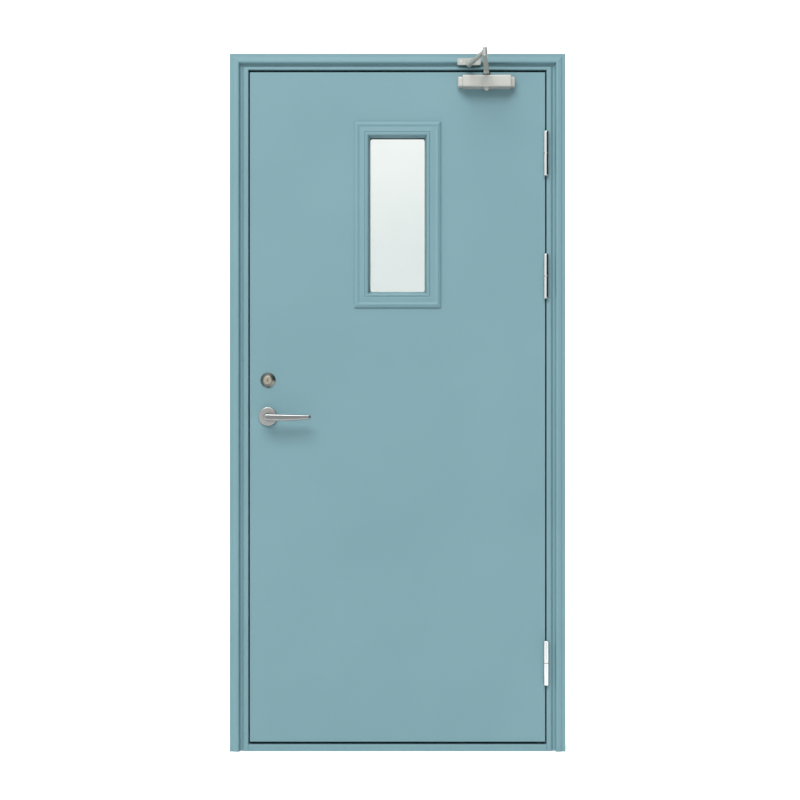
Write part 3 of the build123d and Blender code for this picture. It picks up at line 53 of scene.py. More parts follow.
def clearSelection():
    if bpy.context.mode != "OBJECT":
        bpy.ops.object.mode_set(mode="OBJECT")
    bpy.ops.object.select_all(action="DESELECT")


def activate(obj):
    clearSelection()
    obj.select_set(True)
    bpy.context.view_layer.objects.active = obj


def srgb(hexColour):
    # a hex colour as the linear value that the shader takes
    channels = [int(hexColour[i : i + 2], 16) / 255 for i in (0, 2, 4)]
    return [c / 12.92 if c <= 0.04045 else ((c + 0.055) / 1.055) ** 2.4 for c in channels] + [1]


# The modelling functions below take millimetres, and turn them to Blender's metres.
def addBox(name, low, high):
    clearSelection()
    low, high = Vector(low) * mm, Vector(high) * mm
    bpy.ops.mesh.primitive_cube_add(size=1, location=(low + high) / 2, scale=high - low)
    bpy.ops.object.transform_apply(location=True, rotation=True, scale=True)
    bpy.context.object.name = name
    return bpy.context.object


turnOf = {"x": (0, math.pi / 2, 0), "y": (math.pi / 2, 0, 0), "z": (0, 0, 0)}


def addRound(name, centre, radius, depth, axis, segments=48, farRadius=None):
    # a cylinder or cone round a centre; the far radius is at its +X, -Y or +Z end
    clearSelection()
    if farRadius is None:
        farRadius = radius
    bpy.ops.mesh.primitive_cone_add(
        vertices=segments, radius1=radius * mm, radius2=farRadius * mm, depth=depth * mm,
        location=Vector(centre) * mm, rotation=turnOf[axis],
    )
    bpy.ops.object.transform_apply(location=True, rotation=True, scale=True)
    bpy.context.object.name = name
    return bpy.context.object


def edit(obj, mode="FACE"):
    activate(obj)
    bpy.ops.object.mode_set(mode="EDIT")
    bpy.ops.mesh.select_mode(type=mode)
    bpy.ops.mesh.select_all(action="DESELECT")


def pick(obj, kind, test):
    # in edit mode: selects the faces by middle and normal, or the edges by middle and direction
    mesh = bmesh.from_edit_mesh(obj.data)
    if kind == "faces":
        for face in mesh.faces:
            face.select_set(bool(test(face.calc_center_median() / mm, face.normal)))
    else:
        for edge in mesh.edges:
            a, b = edge.verts[0].co / mm, edge.verts[1].co / mm
            edge.select_set(bool(test((a + b) / 2, b - a)))
    mesh.select_flush_mode()
    bmesh.update_edit_mesh(obj.data)


near = 0.01  # two places closer than this, in millimetres, are taken as one


def onPlane(axis, value):
    # a test for pick: edges whose middle lies on the plane across the axis
    index = "xyz".index(axis)
    return lambda c, d: abs(c[index] - value) < near


def capRound(axis, side, centre):
    # a test for pick: the flat end that looks to that side of the axis, its middle on the centre
    index = "xyz".index(axis)

    def isCap(c, n):
        across = c - Vector(centre)
        across[index] = 0
        return n[index] * side > 0.9 and across.length < 0.5

    return isCap


def bevelEdges(obj, width, test, segments=3):
    edit(obj, "EDGE")
    pick(obj, "edges", test)
    bpy.ops.mesh.bevel(offset=width * mm, segments=segments, affect="EDGES", clamp_overlap=True)
    clearSelection()


def insetFaces(obj, test, thickness, push=(0, 0, 0)):
    edit(obj)
    pick(obj, "faces", test)
    bpy.ops.mesh.inset(thickness=thickness * mm, depth=0)
    if any(push):
        bpy.ops.transform.translate(value=Vector(push) * mm)
    clearSelection()


def extrudeFaces(obj, test, move, steps=((1, 1, 1),), centre=(0, 0, 0)):
    # draws the faces out by the move once for each step, and scales the new end about the centre
    edit(obj)
    pick(obj, "faces", test)
    for step in steps:
        bpy.ops.mesh.extrude_region_move(TRANSFORM_OT_translate={"value": Vector(move) * mm})
        bpy.ops.transform.resize(value=step, center_override=Vector(centre) * mm)
    clearSelection()


def drawOut(obj, stations, side=1):
    # draws the end on that side of X out through stations of x, middle y, middle z, width, height
    edit(obj)
    x, y, z, width, height = stations[0]
    pick(obj, "faces", lambda c, n: n.x * side > 0.9 and (c.x - x) * side > -near)
    for nextX, nextY, nextZ, nextWidth, nextHeight in stations[1:]:
        move = Vector((nextX - x, nextY - y, nextZ - z)) * mm
        bpy.ops.mesh.extrude_region_move(TRANSFORM_OT_translate={"value": move})
        bpy.ops.transform.resize(
            value=(1, nextWidth / width, nextHeight / height),
            center_override=Vector((nextX, nextY, nextZ)) * mm,
        )
        x, y, z, width, height = nextX, nextY, nextZ, nextWidth, nextHeight
    clearSelection()


def modify(obj, kind, **values):
    # adds a modifier, sets it and applies it
    activate(obj)
    modifier = obj.modifiers.new(kind.title(), kind)
    for key, value in values.items():
        setattr(modifier, key, value)
    bpy.ops.object.modifier_apply(modifier=modifier.name)


def softEdges(obj, width, segments=2, angle=30):
    modify(obj, "BEVEL", width=width * mm, segments=segments, limit_method="ANGLE",
           angle_limit=math.radians(angle))


def cutWith(obj, cutter, operation="DIFFERENCE"):
    modify(obj, "BOOLEAN", operation=operation, object=cutter, solver="EXACT")
    bpy.data.objects.remove(cutter)


# countersunk holes, the same in the hinges and the closer's shoe
screw = {"head": 4.45, "hole": 2.5, "sink": 1.95, "proud": 0.02, "through": 12}


def sinkScrew(obj, face, axis, side):
    # cuts a countersunk hole into a face that looks to that side of X or Y
    middle = Vector(face)
    middle["xyz".index(axis)] -= side * screw["sink"] / 2
    start, end = screw["hole"], screw["head"]
    if (axis == "x") != (side > 0):
        start, end = end, start
    cutWith(obj, addRound("sink", middle, start, screw["sink"] + screw["proud"], axis, 32, end))
    cutWith(obj, addRound("bore", face, screw["hole"], screw["through"], axis, 24))


def turnAndPlace(obj, angle, place):
    # turns a piece that was modelled along X about Z, and moves it to its place
    activate(obj)
    obj.rotation_euler = (0, 0, angle)
    obj.location = Vector(place) * mm
    bpy.ops.object.transform_apply(location=True, rotation=True, scale=True)
    clearSelection()


def copyOf(obj, name, offset=(0, 0, 0), mirrorAxis=None):
    # a copy with a mesh of its own, mirrored and moved in the mesh
    activate(obj)
    bpy.ops.object.duplicate()
    copy = bpy.context.object
    copy.name = name
    bpy.ops.object.mode_set(mode="EDIT")
    bpy.ops.mesh.select_all(action="SELECT")
    if mirrorAxis is not None:
        value = [1, 1, 1]
        value[mirrorAxis] = -1
        bpy.ops.transform.resize(value=value, center_override=(0, 0, 0))
        bpy.ops.mesh.normals_make_consistent(inside=False)
    bpy.ops.transform.translate(value=Vector(offset) * mm)
    clearSelection()
    return copy


def joined(name, pieces):
    clearSelection()
    for piece in pieces:
        piece.select_set(True)
    bpy.context.view_layer.objects.active = pieces[0]
    bpy.ops.object.join()
    bpy.context.object.name = name
    return bpy.context.object


def finishPiece(obj, body, material, replaced=(), angle=35):
    activate(obj)
    bpy.ops.object.shade_smooth_by_angle(angle=math.radians(angle))
    modify(obj, "WEIGHTED_NORMAL", mode="FACE_AREA", keep_sharp=True)
    obj.data.materials.clear()
    obj.data.materials.append(material)
    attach(obj, body)
    if replaced:
        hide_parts(*replaced)
    clearSelection()


def newMaterial(name, colour, roughness, metallic=0.0):
    material = bpy.data.materials.new(name)
    material.use_nodes = True
    shader = material.node_tree.nodes["Principled BSDF"]
    shader.inputs["Base Color"].default_value = srgb(colour)
    shader.inputs["Roughness"].default_value = roughness
    shader.inputs["Metallic"].default_value = metallic
    return material, shader


def link(owner, output, target):
    owner.node_tree.links.new(output, target)


def addNode(owner, kind, inputs=None, **values):
    # adds a node to a material or the world, sets its properties, and sets or links its inputs
    node = owner.node_tree.nodes.new(kind)
    for key, value in values.items():
        setattr(node, key, value)
    for key, value in (inputs or {}).items():
        if isinstance(value, bpy.types.NodeSocket):
            link(owner, value, node.inputs[key])
        else:
            node.inputs[key].default_value = value
    return node


# In the finishes, perMetre counts the grains in a metre (650 is a grain each 1.5 mm), a stretch
# below 1 draws the grain out along that axis, and a bump is the grain's height in millimetres.
noiseSpan = (0.3, 0.7)  # most of a noise lies between these


def patterned(
    material, shader, colours, perMetre, stretch=(1, 1, 1), bump=0.02, rough=None, detail=3
):
    # a noise in Object coordinates that varies colour, roughness and height
    place = addNode(material, "ShaderNodeTexCoord")
    mapping = addNode(
        material, "ShaderNodeMapping", {"Vector": place.outputs["Object"], "Scale": stretch}
    )
    noise = addNode(
        material, "ShaderNodeTexNoise",
        {"Vector": mapping.outputs["Vector"], "Scale": perMetre,
         "Detail": detail, "Roughness": 0.6},
    )
    ramp = addNode(material, "ShaderNodeValToRGB", {"Fac": noise.outputs["Fac"]})
    for stop, position, colour in zip(ramp.color_ramp.elements, noiseSpan, colours):
        stop.position = position
        stop.color = srgb(colour)
    link(material, ramp.outputs["Color"], shader.inputs["Base Color"])
    if rough:
        spread = addNode(
            material, "ShaderNodeMapRange",
            {"Value": noise.outputs["Fac"], "From Min": noiseSpan[0], "From Max": noiseSpan[1],
             "To Min": rough[0], "To Max": rough[1]},
        )
        link(material, spread.outputs["Result"], shader.inputs["Roughness"])
    height = addNode(
        material, "ShaderNodeBump",
        {"Height": noise.outputs["Fac"], "Strength": 1.0, "Distance": bump * mm},
    )
    link(material, height.outputs["Normal"], shader.inputs["Normal"])
    return place, ramp, height


def grained(name, colours, rough, perMetre, stretch=(1, 1, 1), bump=0.01, metallic=1.0):
    material, shader = newMaterial(name, colours[0], rough[0], metallic)
    patterned(material, shader, colours, perMetre, stretch, bump, rough)
    return material


# Powder-coated steel, sprayed and baked: an orange peel of 1.5 mm breaks up its soft sheen, its
# tone drifts slowly over the sheet, and its edges are rounded by the coat and rubbed lighter.
coat = {
    "low": "618188", "high": "65858C", "worn": "829CA4",
    "driftPerMetre": 2.2, "peelPerMetre": 650, "peelHeight": 0.035,
    "rough": (0.52, 0.64), "specular": 0.34,
    "edgeRadius": 1.2, "wearStarts": 0.98, "wearFull": 0.8, "wear": 0.3,
}
paint, paintShader = newMaterial(
    "powder coated steel, light grey blue", coat["low"], sum(coat["rough"]) / 2
)
paintShader.inputs["Specular IOR Level"].default_value = coat["specular"]
paintPlace, paintRamp, paintHeight = patterned(
    paint, paintShader, (coat["low"], coat["high"]), coat["driftPerMetre"],
    bump=coat["peelHeight"], detail=2,
)
peel = addNode(
    paint, "ShaderNodeTexNoise",
    {"Vector": paintPlace.outputs["Object"], "Scale": coat["peelPerMetre"],
     "Detail": 1.5, "Roughness": 0.5},
)
link(paint, peel.outputs["Fac"], paintHeight.inputs["Height"])
rounded = addNode(paint, "ShaderNodeBevel", {"Radius": coat["edgeRadius"] * mm}, samples=4)
link(paint, rounded.outputs["Normal"], paintHeight.inputs["Normal"])
# where the rounded normal turns away from the face's own, an edge is near
faceNormal = addNode(paint, "ShaderNodeNewGeometry")
turnedBy = addNode(
    paint, "ShaderNodeVectorMath",
    {0: rounded.outputs["Normal"], 1: faceNormal.outputs["Normal"]}, operation="DOT_PRODUCT",
)
rubbed = addNode(
    paint, "ShaderNodeMapRange",
    {"Value": turnedBy.outputs["Value"], "From Min": coat["wearStarts"],
     "From Max": coat["wearFull"], "To Min": 0, "To Max": coat["wear"]},
)
wornPaint = addNode(
    paint, "ShaderNodeMix",
    {0: rubbed.outputs["Result"], 6: paintRamp.outputs["Color"], 7: srgb(coat["worn"])},
    data_type="RGBA",
)
link(paint, wornPaint.outputs[2], paintShader.inputs["Base Color"])
peelSheen = addNode(
    paint, "ShaderNodeMapRange",
    {"Value": peel.outputs["Fac"], "From Min": noiseSpan[0], "From Max": noiseSpan[1],
     "To Min": coat["rough"][0], "To Max": coat["rough"][1]},
)
link(paint, peelSheen.outputs["Result"], paintShader.inputs["Roughness"])

# Brushing and polishing lines are 0.1 mm or finer, and are drawn about 1.5 mm so that they show.
# polished sheet: near-mirror, with reflections drawn out into upright streaks
stainless = grained(
    "polished stainless steel", ("C6C7C7", "D2D3D3"), (0.10, 0.18), 600, (1, 1, 0.03), bump=0.002
)
hingeSteel = grained(
    "bright polished stainless steel", ("D6D7D7", "E0E1E1"), (0.08, 0.15), 600, (1, 1, 0.03),
    bump=0.002,
)
# brushed along the grip: bright on top, dark beneath, with streaks that run with the blade
satinLever = grained(
    "satin stainless steel", ("8B8D8C", "989A99"), (0.09, 0.14), 700, (0.05, 1, 1), bump=0.003
)
# turned and satin finished: an even soft grey without streaks
satinRose = grained(
    "fine satin stainless steel", ("9C9D9A", "A5A6A3"), (0.22, 0.28), 650, bump=0.001
)
# the same, darker and browner
darkSatin = grained(
    "darker satin stainless steel", ("84827C", "918F89"), (0.2, 0.28), 700, bump=0.001
)
# plated: bluish grey with cloudy patches of about 4 mm
zinc = grained("zinc plated steel", ("A3A8AD", "B4B8BC"), (0.3, 0.45), 260, bump=0.008)
# sprayed with aluminium flakes: a fine sparkle; the flakes are 0.03 mm, and are drawn 0.4 mm
silver = grained(
    "silver painted steel", ("8E918B", "9FA29B"), (0.34, 0.44), 2400, bump=0.01, metallic=0.25
)
# die cast and painted: a matt light grey with a faint pebble of 1 mm
aluminium = grained(
    "painted cast aluminium", ("9A9B96", "A5A6A1"), (0.36, 0.46), 900, bump=0.02, metallic=0.25
)
# pressed from powder: brown, dry and pitted; the grain is 0.1 mm, and is drawn 0.7 mm
bronze = grained("sintered bronze", ("7D6B50", "8D7A5C"), (0.4, 0.55), 1500)
# turned and plated: a warm grey, yellower than steel; its fine turning lines are drawn 1.4 mm
nickel = grained("nickel plated brass", ("A09B8B", "B0AB9B"), (0.22, 0.34), 700)
# extruded: a dull black that holds no highlight, with a skin texture drawn 1 mm
rubber = grained(
    "black seal rubber", ("101111", "191A1A"), (0.6, 0.75), 900, bump=0.02, metallic=0.0
)
# moulded: black with a soft sheen, its mould texture drawn 1.4 mm
blockPlastic = grained(
    "black glazing plastic", ("1A1B1C", "232425"), (0.45, 0.55), 700, metallic=0.0
)
# pressed fibres of about 2 mm, standing across the leaf's thickness: straw coloured and rough
coreFibre = grained(
    "mineral wool board", ("A39A7C", "C6BEA2"), (0.9, 0.98), 500, (1, 0.25, 1),
    bump=0.4, metallic=0.0,
)

# Cast and laminated fire glass: thick, slightly green, painted paler towards the top to stand in
# for the light behind it there, and with a faint wave of 11 cm that bends what shows through.
glazing = {
    "tint": "DEE6E4", "foot": "C2CBC9", "head": "D4D9D7", "rough": 0.02, "ior": 1.5,
    "wavePerMetre": 9, "waveHeight": 0.01, "waveTone": 0.25,
    "fadeFrom": 1.5, "fadeTo": 1.87, "fade": 0.9,  # from and to are metres above the floor
}
glass, glassShader = newMaterial("laminated fire glass", glazing["tint"], glazing["rough"])
glassShader.inputs["Transmission Weight"].default_value = 1.0
glassShader.inputs["IOR"].default_value = glazing["ior"]
glassPlace = addNode(glass, "ShaderNodeTexCoord")
glassWave = addNode(
    glass, "ShaderNodeTexNoise",
    {"Vector": glassPlace.outputs["Object"], "Scale": glazing["wavePerMetre"], "Detail": 1},
)
glassAxes = addNode(glass, "ShaderNodeSeparateXYZ", {"Vector": glassPlace.outputs["Object"]})
# painted light: the colour is made paler with height, standing in for the light behind the glass
glassPaintedLight = addNode(
    glass, "ShaderNodeMapRange",
    {"Value": glassAxes.outputs["Z"], "From Min": glazing["fadeFrom"],
     "From Max": glazing["fadeTo"], "To Min": 0.0, "To Max": glazing["fade"]},
)
glassTone = addNode(
    glass, "ShaderNodeMath",
    {0: glassWave.outputs["Fac"], 1: glazing["waveTone"], 2: glassPaintedLight.outputs["Result"]},
    operation="MULTIPLY_ADD",
)
glassRamp = addNode(glass, "ShaderNodeValToRGB", {"Fac": glassTone.outputs["Value"]})
glassRamp.color_ramp.elements[0].color = srgb(glazing["foot"])
glassRamp.color_ramp.elements[1].color = srgb(glazing["head"])
link(glass, glassRamp.outputs["Color"], glassShader.inputs["Base Color"])
glassHeight = addNode(
    glass, "ShaderNodeBump",
    {"Height": glassWave.outputs["Fac"], "Distance": glazing["waveHeight"] * mm},
)
link(glass, glassHeight.outputs["Normal"], glassShader.inputs["Normal"])

slotMaterials = {
    "painted_steel": paint,
    "stainless_steel": stainless,
    "zinc_plated_steel": zinc,
    "silver_painted_steel": silver,
    "cast_aluminium": aluminium,
    "bearing_bronze": bronze,
    "nickel_plated_brass": nickel,
    "seal_rubber": rubber,
    "hard_plastic": blockPlastic,
    "mineral_core": coreFibre,
    "fire_glass": glass,
}
for part in frame["record"]["subparts"]:
    node = nodes[part["node"]]
    node.data.materials.clear()
    node.data.materials.append(slotMaterials[part["material_slot"]])
print("materials set")

# the camera stands where the photograph's did; in metres, and the sensor in millimetres
camera = {
    "x": 0.0075,
    "height": 1.0576,
    "distance": 4.665,
    "leafFront": 0.025,
    "seen": 2.41,  # width of the picture at the leaf's front
    "sensor": 36,
}
cameraData = bpy.data.cameras.new("camera")
cameraObject = bpy.data.objects.new("camera", cameraData)
bpy.context.scene.collection.objects.link(cameraObject)
cameraObject.location = (camera["x"], -camera["distance"], camera["height"])
cameraObject.rotation_euler = (math.pi / 2, 0, 0)
cameraData.sensor_width = camera["sensor"]
cameraData.lens = camera["sensor"] * (camera["distance"] - camera["leafFront"]) / camera["seen"]
bpy.context.scene.camera = cameraObject

# a wide soft lamp high in front, a weaker one for the back, and a sky that is bright on the
# upper left, so that rounded metal is light on that side and dark on the other
lights = {
    "aim": (0, 0, 1.2),
    "key": {"place": (-1.8, -9.0, 9.9), "width": 9.1, "depth": 5.9, "power": 1690},
    "back": {"place": (2.0, 6.0, 5.2), "width": 4.0, "depth": 3.0, "power": 230},
    "sky": {"towards": (-0.6, -0.45, 0.66), "dark": 0.01, "bright": 1.08, "from": 0.1, "to": 0.7,
            "behind": 1.02},
}
for lampName in ("key", "back"):
    values = lights[lampName]
    lamp = bpy.data.lights.new(lampName, "AREA")
    lamp.shape = "RECTANGLE"
    lamp.size = values["width"]
    lamp.size_y = values["depth"]
    lamp.energy = values["power"]
    lampObject = bpy.data.objects.new(lampName, lamp)
    bpy.context.scene.collection.objects.link(lampObject)
    lampObject.location = values["place"]
    direction = Vector(lights["aim"]) - Vector(values["place"])
    lampObject.rotation_euler = direction.to_track_quat("-Z", "Y").to_euler()
    lampObject.visible_camera = False
world = bpy.data.worlds.new("studio")
bpy.context.scene.world = world
world.use_nodes = True
sky = lights["sky"]
skyPlace = addNode(world, "ShaderNodeTexCoord")
skyDot = addNode(
    world, "ShaderNodeVectorMath", {0: skyPlace.outputs["Generated"], 1: sky["towards"]},
    operation="DOT_PRODUCT",
)
skyRange = addNode(
    world, "ShaderNodeMapRange",
    {"Value": skyDot.outputs["Value"], "From Min": sky["from"], "From Max": sky["to"],
     "To Min": sky["dark"], "To Max": sky["bright"]},
    interpolation_type="SMOOTHSTEP",
)
# the camera sees plain white behind the object, also through the glass
skyPath = addNode(world, "ShaderNodeLightPath")
skySeen = addNode(
    world, "ShaderNodeMath",
    {0: skyPath.outputs["Is Camera Ray"], 1: skyPath.outputs["Is Transmission Ray"]},
    operation="MAXIMUM",
)
skyMix = addNode(
    world, "ShaderNodeMix",
    {"Factor": skySeen.outputs["Value"], "A": skyRange.outputs["Result"], "B": sky["behind"]},
)
background = world.node_tree.nodes["Background"]
link(world, skyMix.outputs["Result"], background.inputs["Strength"])
background.inputs["Color"].default_value = (1, 1, 1, 1)
bpy.context.scene.view_settings.view_transform = "Standard"

# a pale floor and a white backdrop; the box sizes are in millimetres, the rest in metres
studio = {
    "reach": 12000, "backdropAt": 7000, "thickness": 20, "rough": 0.9,
    "floorTones": ("F6F6F6", "FBFBFB"), "floorSpots": 3, "floorBump": 0.05,
    "floorGrey": "B8BABC", "greyFull": -2.2, "greyStarts": -0.65,
    "glowFull": -7.0, "glowEnds": -2.5, "farGlow": 0.9, "glow": 0.12,
    "backdrop": "BCBCBC", "backdropGlow": 0.5,
}
reach, backdropAt, thickness = studio["reach"], studio["backdropAt"], studio["thickness"]
floor = addBox("floor", (-reach, -reach, -thickness), (reach, backdropAt, 0))
floorPaint, floorShader = newMaterial("pale studio floor", "FFFFFF", studio["rough"])
floorPlace, floorRamp = patterned(
    floorPaint, floorShader, studio["floorTones"], studio["floorSpots"], bump=studio["floorBump"]
)[:2]
# the floor falls off to grey in front of the door, so that the metals don't mirror it white
floorAxes = addNode(floorPaint, "ShaderNodeSeparateXYZ", {"Vector": floorPlace.outputs["Object"]})
fallOff = addNode(
    floorPaint, "ShaderNodeMapRange",
    {"Value": floorAxes.outputs["Y"], "From Min": studio["greyFull"],
     "From Max": studio["greyStarts"], "To Min": 1.0, "To Max": 0.0},
)
floorTone = addNode(
    floorPaint, "ShaderNodeMix",
    {0: fallOff.outputs["Result"], 6: floorRamp.outputs["Color"], 7: srgb(studio["floorGrey"])},
    data_type="RGBA",
)
link(floorPaint, floorTone.outputs[2], floorShader.inputs["Base Color"])
floorShader.inputs["Emission Color"].default_value = (1, 1, 1, 1)
# it glows far in front, so that no edge shows behind the door in the views from the back
floorGlow = addNode(
    floorPaint, "ShaderNodeMapRange",
    {"Value": floorAxes.outputs["Y"], "From Min": studio["glowFull"],
     "From Max": studio["glowEnds"], "To Min": studio["farGlow"], "To Max": studio["glow"]},
)
link(floorPaint, floorGlow.outputs["Result"], floorShader.inputs["Emission Strength"])
floor.data.materials.append(floorPaint)
backdrop = addBox(
    "backdrop", (-reach, backdropAt, -thickness), (reach, backdropAt + thickness, reach)
)
backdropPaint, backdropShader = newMaterial(
    "white studio backdrop", studio["backdrop"], studio["rough"]
)
backdropShader.inputs["Emission Color"].default_value = (1, 1, 1, 1)
backdropShader.inputs["Emission Strength"].default_value = studio["backdropGlow"]
backdrop.data.materials.append(backdropPaint)
print("stage set")

# lever: its blade is drawn out from the root to the tip, and its neck flares into it
lever = {
    "x": -390, "z": 1008, "front": -85, "thickness": 13, "edge": 4.2, "seed": 1,
    # x, top and bottom from the spindle's height, and thickness
    "stations": (
        (-399.9, 0.8, -4.8, 7.0),
        (-398.4, 3.6, -7.6, 10.4),
        (-395.0, 6.6, -10.6, 12.4),
        (-390.0, 8.0, -12.0, 13.0),
        (-372.0, 7.6, -12.9, 13.0),
        (-337.0, 6.7, -13.0, 13.0),
        (-312.0, 6.1, -12.0, 13.0),
        (-291.0, 5.6, -10.5, 13.0),
        (-275.0, 5.3, -9.4, 13.0),
        (-265.5, 5.0, -8.3, 12.8),
        (-261.0, 4.2, -7.4, 12.0),
        (-258.9, 2.4, -5.6, 9.6),
        (-258.1, 0.4, -3.6, 6.4),
    ),
    "spindleStation": 3,
    "neckRadius": 9, "neckStart": -26, "neckEnd": -66, "neckEdge": 0.5,
    "flareStep": 2.2, "flare": (1.01, 1.03, 1.06, 0.9),
}
middleY = lever["front"] + lever["thickness"] / 2
stations = [
    (x, middleY, lever["z"] + (top + bottom) / 2, thick, top - bottom)
    for x, top, bottom, thick in lever["stations"]
]
spindleStation = lever["spindleStation"]
firstX, firstY, firstZ, firstWidth, firstHeight = stations[spindleStation]
startX = firstX - lever["seed"]  # the blade grows both ways from a short box at the spindle
frontLever = addBox(
    "front_lever_piece",
    (startX, firstY - firstWidth / 2, firstZ - firstHeight / 2),
    (firstX, firstY + firstWidth / 2, firstZ + firstHeight / 2),
)
bevelEdges(frontLever, lever["edge"], lambda c, d: abs(d.x) > 0.9, segments=4)
drawOut(frontLever, stations[spindleStation:])
rootStart = (startX, firstY, firstZ, firstWidth, firstHeight)
drawOut(frontLever, [rootStart] + stations[spindleStation - 1 :: -1], side=-1)
modify(frontLever, "SUBSURF", levels=1, render_levels=1)
neckLength = lever["neckStart"] - lever["neckEnd"]
neck = addRound(
    "lever_neck", (lever["x"], lever["neckStart"] - neckLength / 2, lever["z"]),
    lever["neckRadius"], neckLength, "y",
)
neckMiddle = (lever["x"], 0, lever["z"])
extrudeFaces(
    neck, capRound("y", -1, neckMiddle), (0, -lever["flareStep"], 0),
    [(scale, 1, scale) for scale in lever["flare"]], neckMiddle,
)
bevelEdges(neck, lever["neckEdge"], onPlane("y", lever["neckStart"]), segments=2)
frontLever = joined("front_lever_piece", [frontLever, neck])
backLever = copyOf(frontLever, "back_lever_piece", mirrorAxis=1)
finishPiece(frontLever, "lever_set", satinLever, ["front_lever"], angle=50)
finishPiece(backLever, "lever_set", satinLever, ["back_lever"], angle=50)
print("levers modelled")


def pressedRose(name, side, disc):
    # a pressed cover on the leaf's skin: a rolled rim, a small step, and a hole in its middle
    middle = side * (disc["skin"] + disc["thickness"] / 2)
    face = side * (disc["skin"] + disc["thickness"])
    cover = addRound(
        name, (disc["x"], middle, disc["z"]), disc["radius"], disc["thickness"], "y", segments=72
    )
    bevelEdges(cover, disc["rim"], onPlane("y", face), segments=4)
    cap = capRound("y", side, (disc["x"], 0, disc["z"]))
    insetFaces(cover, cap, disc["radius"] - disc["rim"] - disc["stepRadius"])
    insetFaces(cover, cap, disc["stepWidth"], (0, -side * disc["stepDepth"], 0))
    insetFaces(cover, cap, disc["stepRadius"] - disc["stepWidth"] - disc["hole"])
    extrudeFaces(cover, cap, (0, -side * disc["holeDepth"], 0))
    return cover


# roses round the levers' necks
rose = {
    "x": -390, "z": 1008, "radius": 28, "skin": 25, "thickness": 8, "rim": 2.0,
    "stepRadius": 11, "stepWidth": 0.4, "stepDepth": 0.5, "hole": 9.4, "holeDepth": 4,
}
frontRose = pressedRose("front_rose_piece", -1, rose)
backRose = copyOf(frontRose, "back_rose_piece", mirrorAxis=1)
finishPiece(frontRose, "leaf", satinRose, ["front_rose"])
finishPiece(backRose, "leaf", satinRose, ["back_rose"])
print("roses modelled")

# cylinder's escutcheons: a steep cone in front, a flat rose behind
escutcheon = {
    "x": -390, "z": 1117, "radius": 23, "faceRadius": 14.6, "back": -25, "front": -35,
    "base": 1.2, "hole": 12.1, "holeDepth": 6, "edge": 0.35,
}
backDisc = {
    "x": -390, "z": 1117, "radius": 23, "skin": 25, "thickness": 8, "rim": 2.0,
    "stepRadius": 12.5, "stepWidth": 0.4, "stepDepth": 0.5, "hole": 6.8, "holeDepth": 4,
}
cylinderX, cylinderZ = escutcheon["x"], escutcheon["z"]
frontEscutcheon = addRound(
    "front_escutcheon_piece", (cylinderX, escutcheon["back"] - escutcheon["base"] / 2, cylinderZ),
    escutcheon["radius"], escutcheon["base"], "y", segments=72,
)
coneDepth = escutcheon["back"] - escutcheon["base"] - escutcheon["front"]
coneScale = escutcheon["faceRadius"] / escutcheon["radius"]
coneMiddle = (cylinderX, 0, cylinderZ)
coneCap = capRound("y", -1, coneMiddle)
extrudeFaces(frontEscutcheon, coneCap, (0, -coneDepth, 0), ((coneScale, 1, coneScale),), coneMiddle)
insetFaces(frontEscutcheon, coneCap, escutcheon["faceRadius"] - escutcheon["hole"])
extrudeFaces(frontEscutcheon, coneCap, (0, escutcheon["holeDepth"], 0))
softEdges(frontEscutcheon, escutcheon["edge"])
finishPiece(frontEscutcheon, "leaf", darkSatin, ["front_escutcheon"])
backEscutcheon = pressedRose("back_escutcheon_piece", 1, backDisc)
finishPiece(backEscutcheon, "leaf", satinRose, ["back_escutcheon"])

# cylinder's face and its plug, with a keyway cut into it
keyCylinder = {
    "radius": 12, "front": -39, "back": -3.5, "edge": 1.0, "bore": 6.6, "boreLength": 60,
    "plugRadius": 6.5, "plugFront": -38.5, "plugBack": -2.5, "plugEdge": 0.4,
    "keyWidth": 2.8, "keyHeight": 9.5, "keyDepth": 20, "keyStart": 2, "segments": 64,
}
housingMiddle = (cylinderX, (keyCylinder["front"] + keyCylinder["back"]) / 2, cylinderZ)
housing = addRound(
    "cylinder_housing_piece", housingMiddle, keyCylinder["radius"],
    keyCylinder["back"] - keyCylinder["front"], "y", keyCylinder["segments"],
)
cutWith(housing, addRound(
    "plug_bore", housingMiddle, keyCylinder["bore"], keyCylinder["boreLength"], "y",
    keyCylinder["segments"],
))
bevelEdges(
    housing, keyCylinder["edge"],
    lambda c, d: abs(c.y - keyCylinder["front"]) < near
    and math.hypot(c.x - cylinderX, c.z - cylinderZ) > keyCylinder["radius"] - 1,
)
finishPiece(housing, "leaf", nickel, ["cylinder_housing"])
plugMiddle = (cylinderX, (keyCylinder["plugFront"] + keyCylinder["plugBack"]) / 2, cylinderZ)
plug = addRound(
    "key_plug_piece", plugMiddle, keyCylinder["plugRadius"],
    keyCylinder["plugBack"] - keyCylinder["plugFront"], "y", keyCylinder["segments"],
)
bevelEdges(plug, keyCylinder["plugEdge"], onPlane("y", keyCylinder["plugFront"]), segments=2)
keyX, keyZ = keyCylinder["keyWidth"] / 2, keyCylinder["keyHeight"] / 2
cutWith(plug, addBox(
    "keyway",
    (cylinderX - keyX, keyCylinder["plugFront"] - keyCylinder["keyStart"], cylinderZ - keyZ),
    (cylinderX + keyX, keyCylinder["plugFront"] + keyCylinder["keyDepth"], cylinderZ + keyZ),
))
finishPiece(plug, "cylinder_core", nickel, ["key_plug"])
print("cylinder modelled")

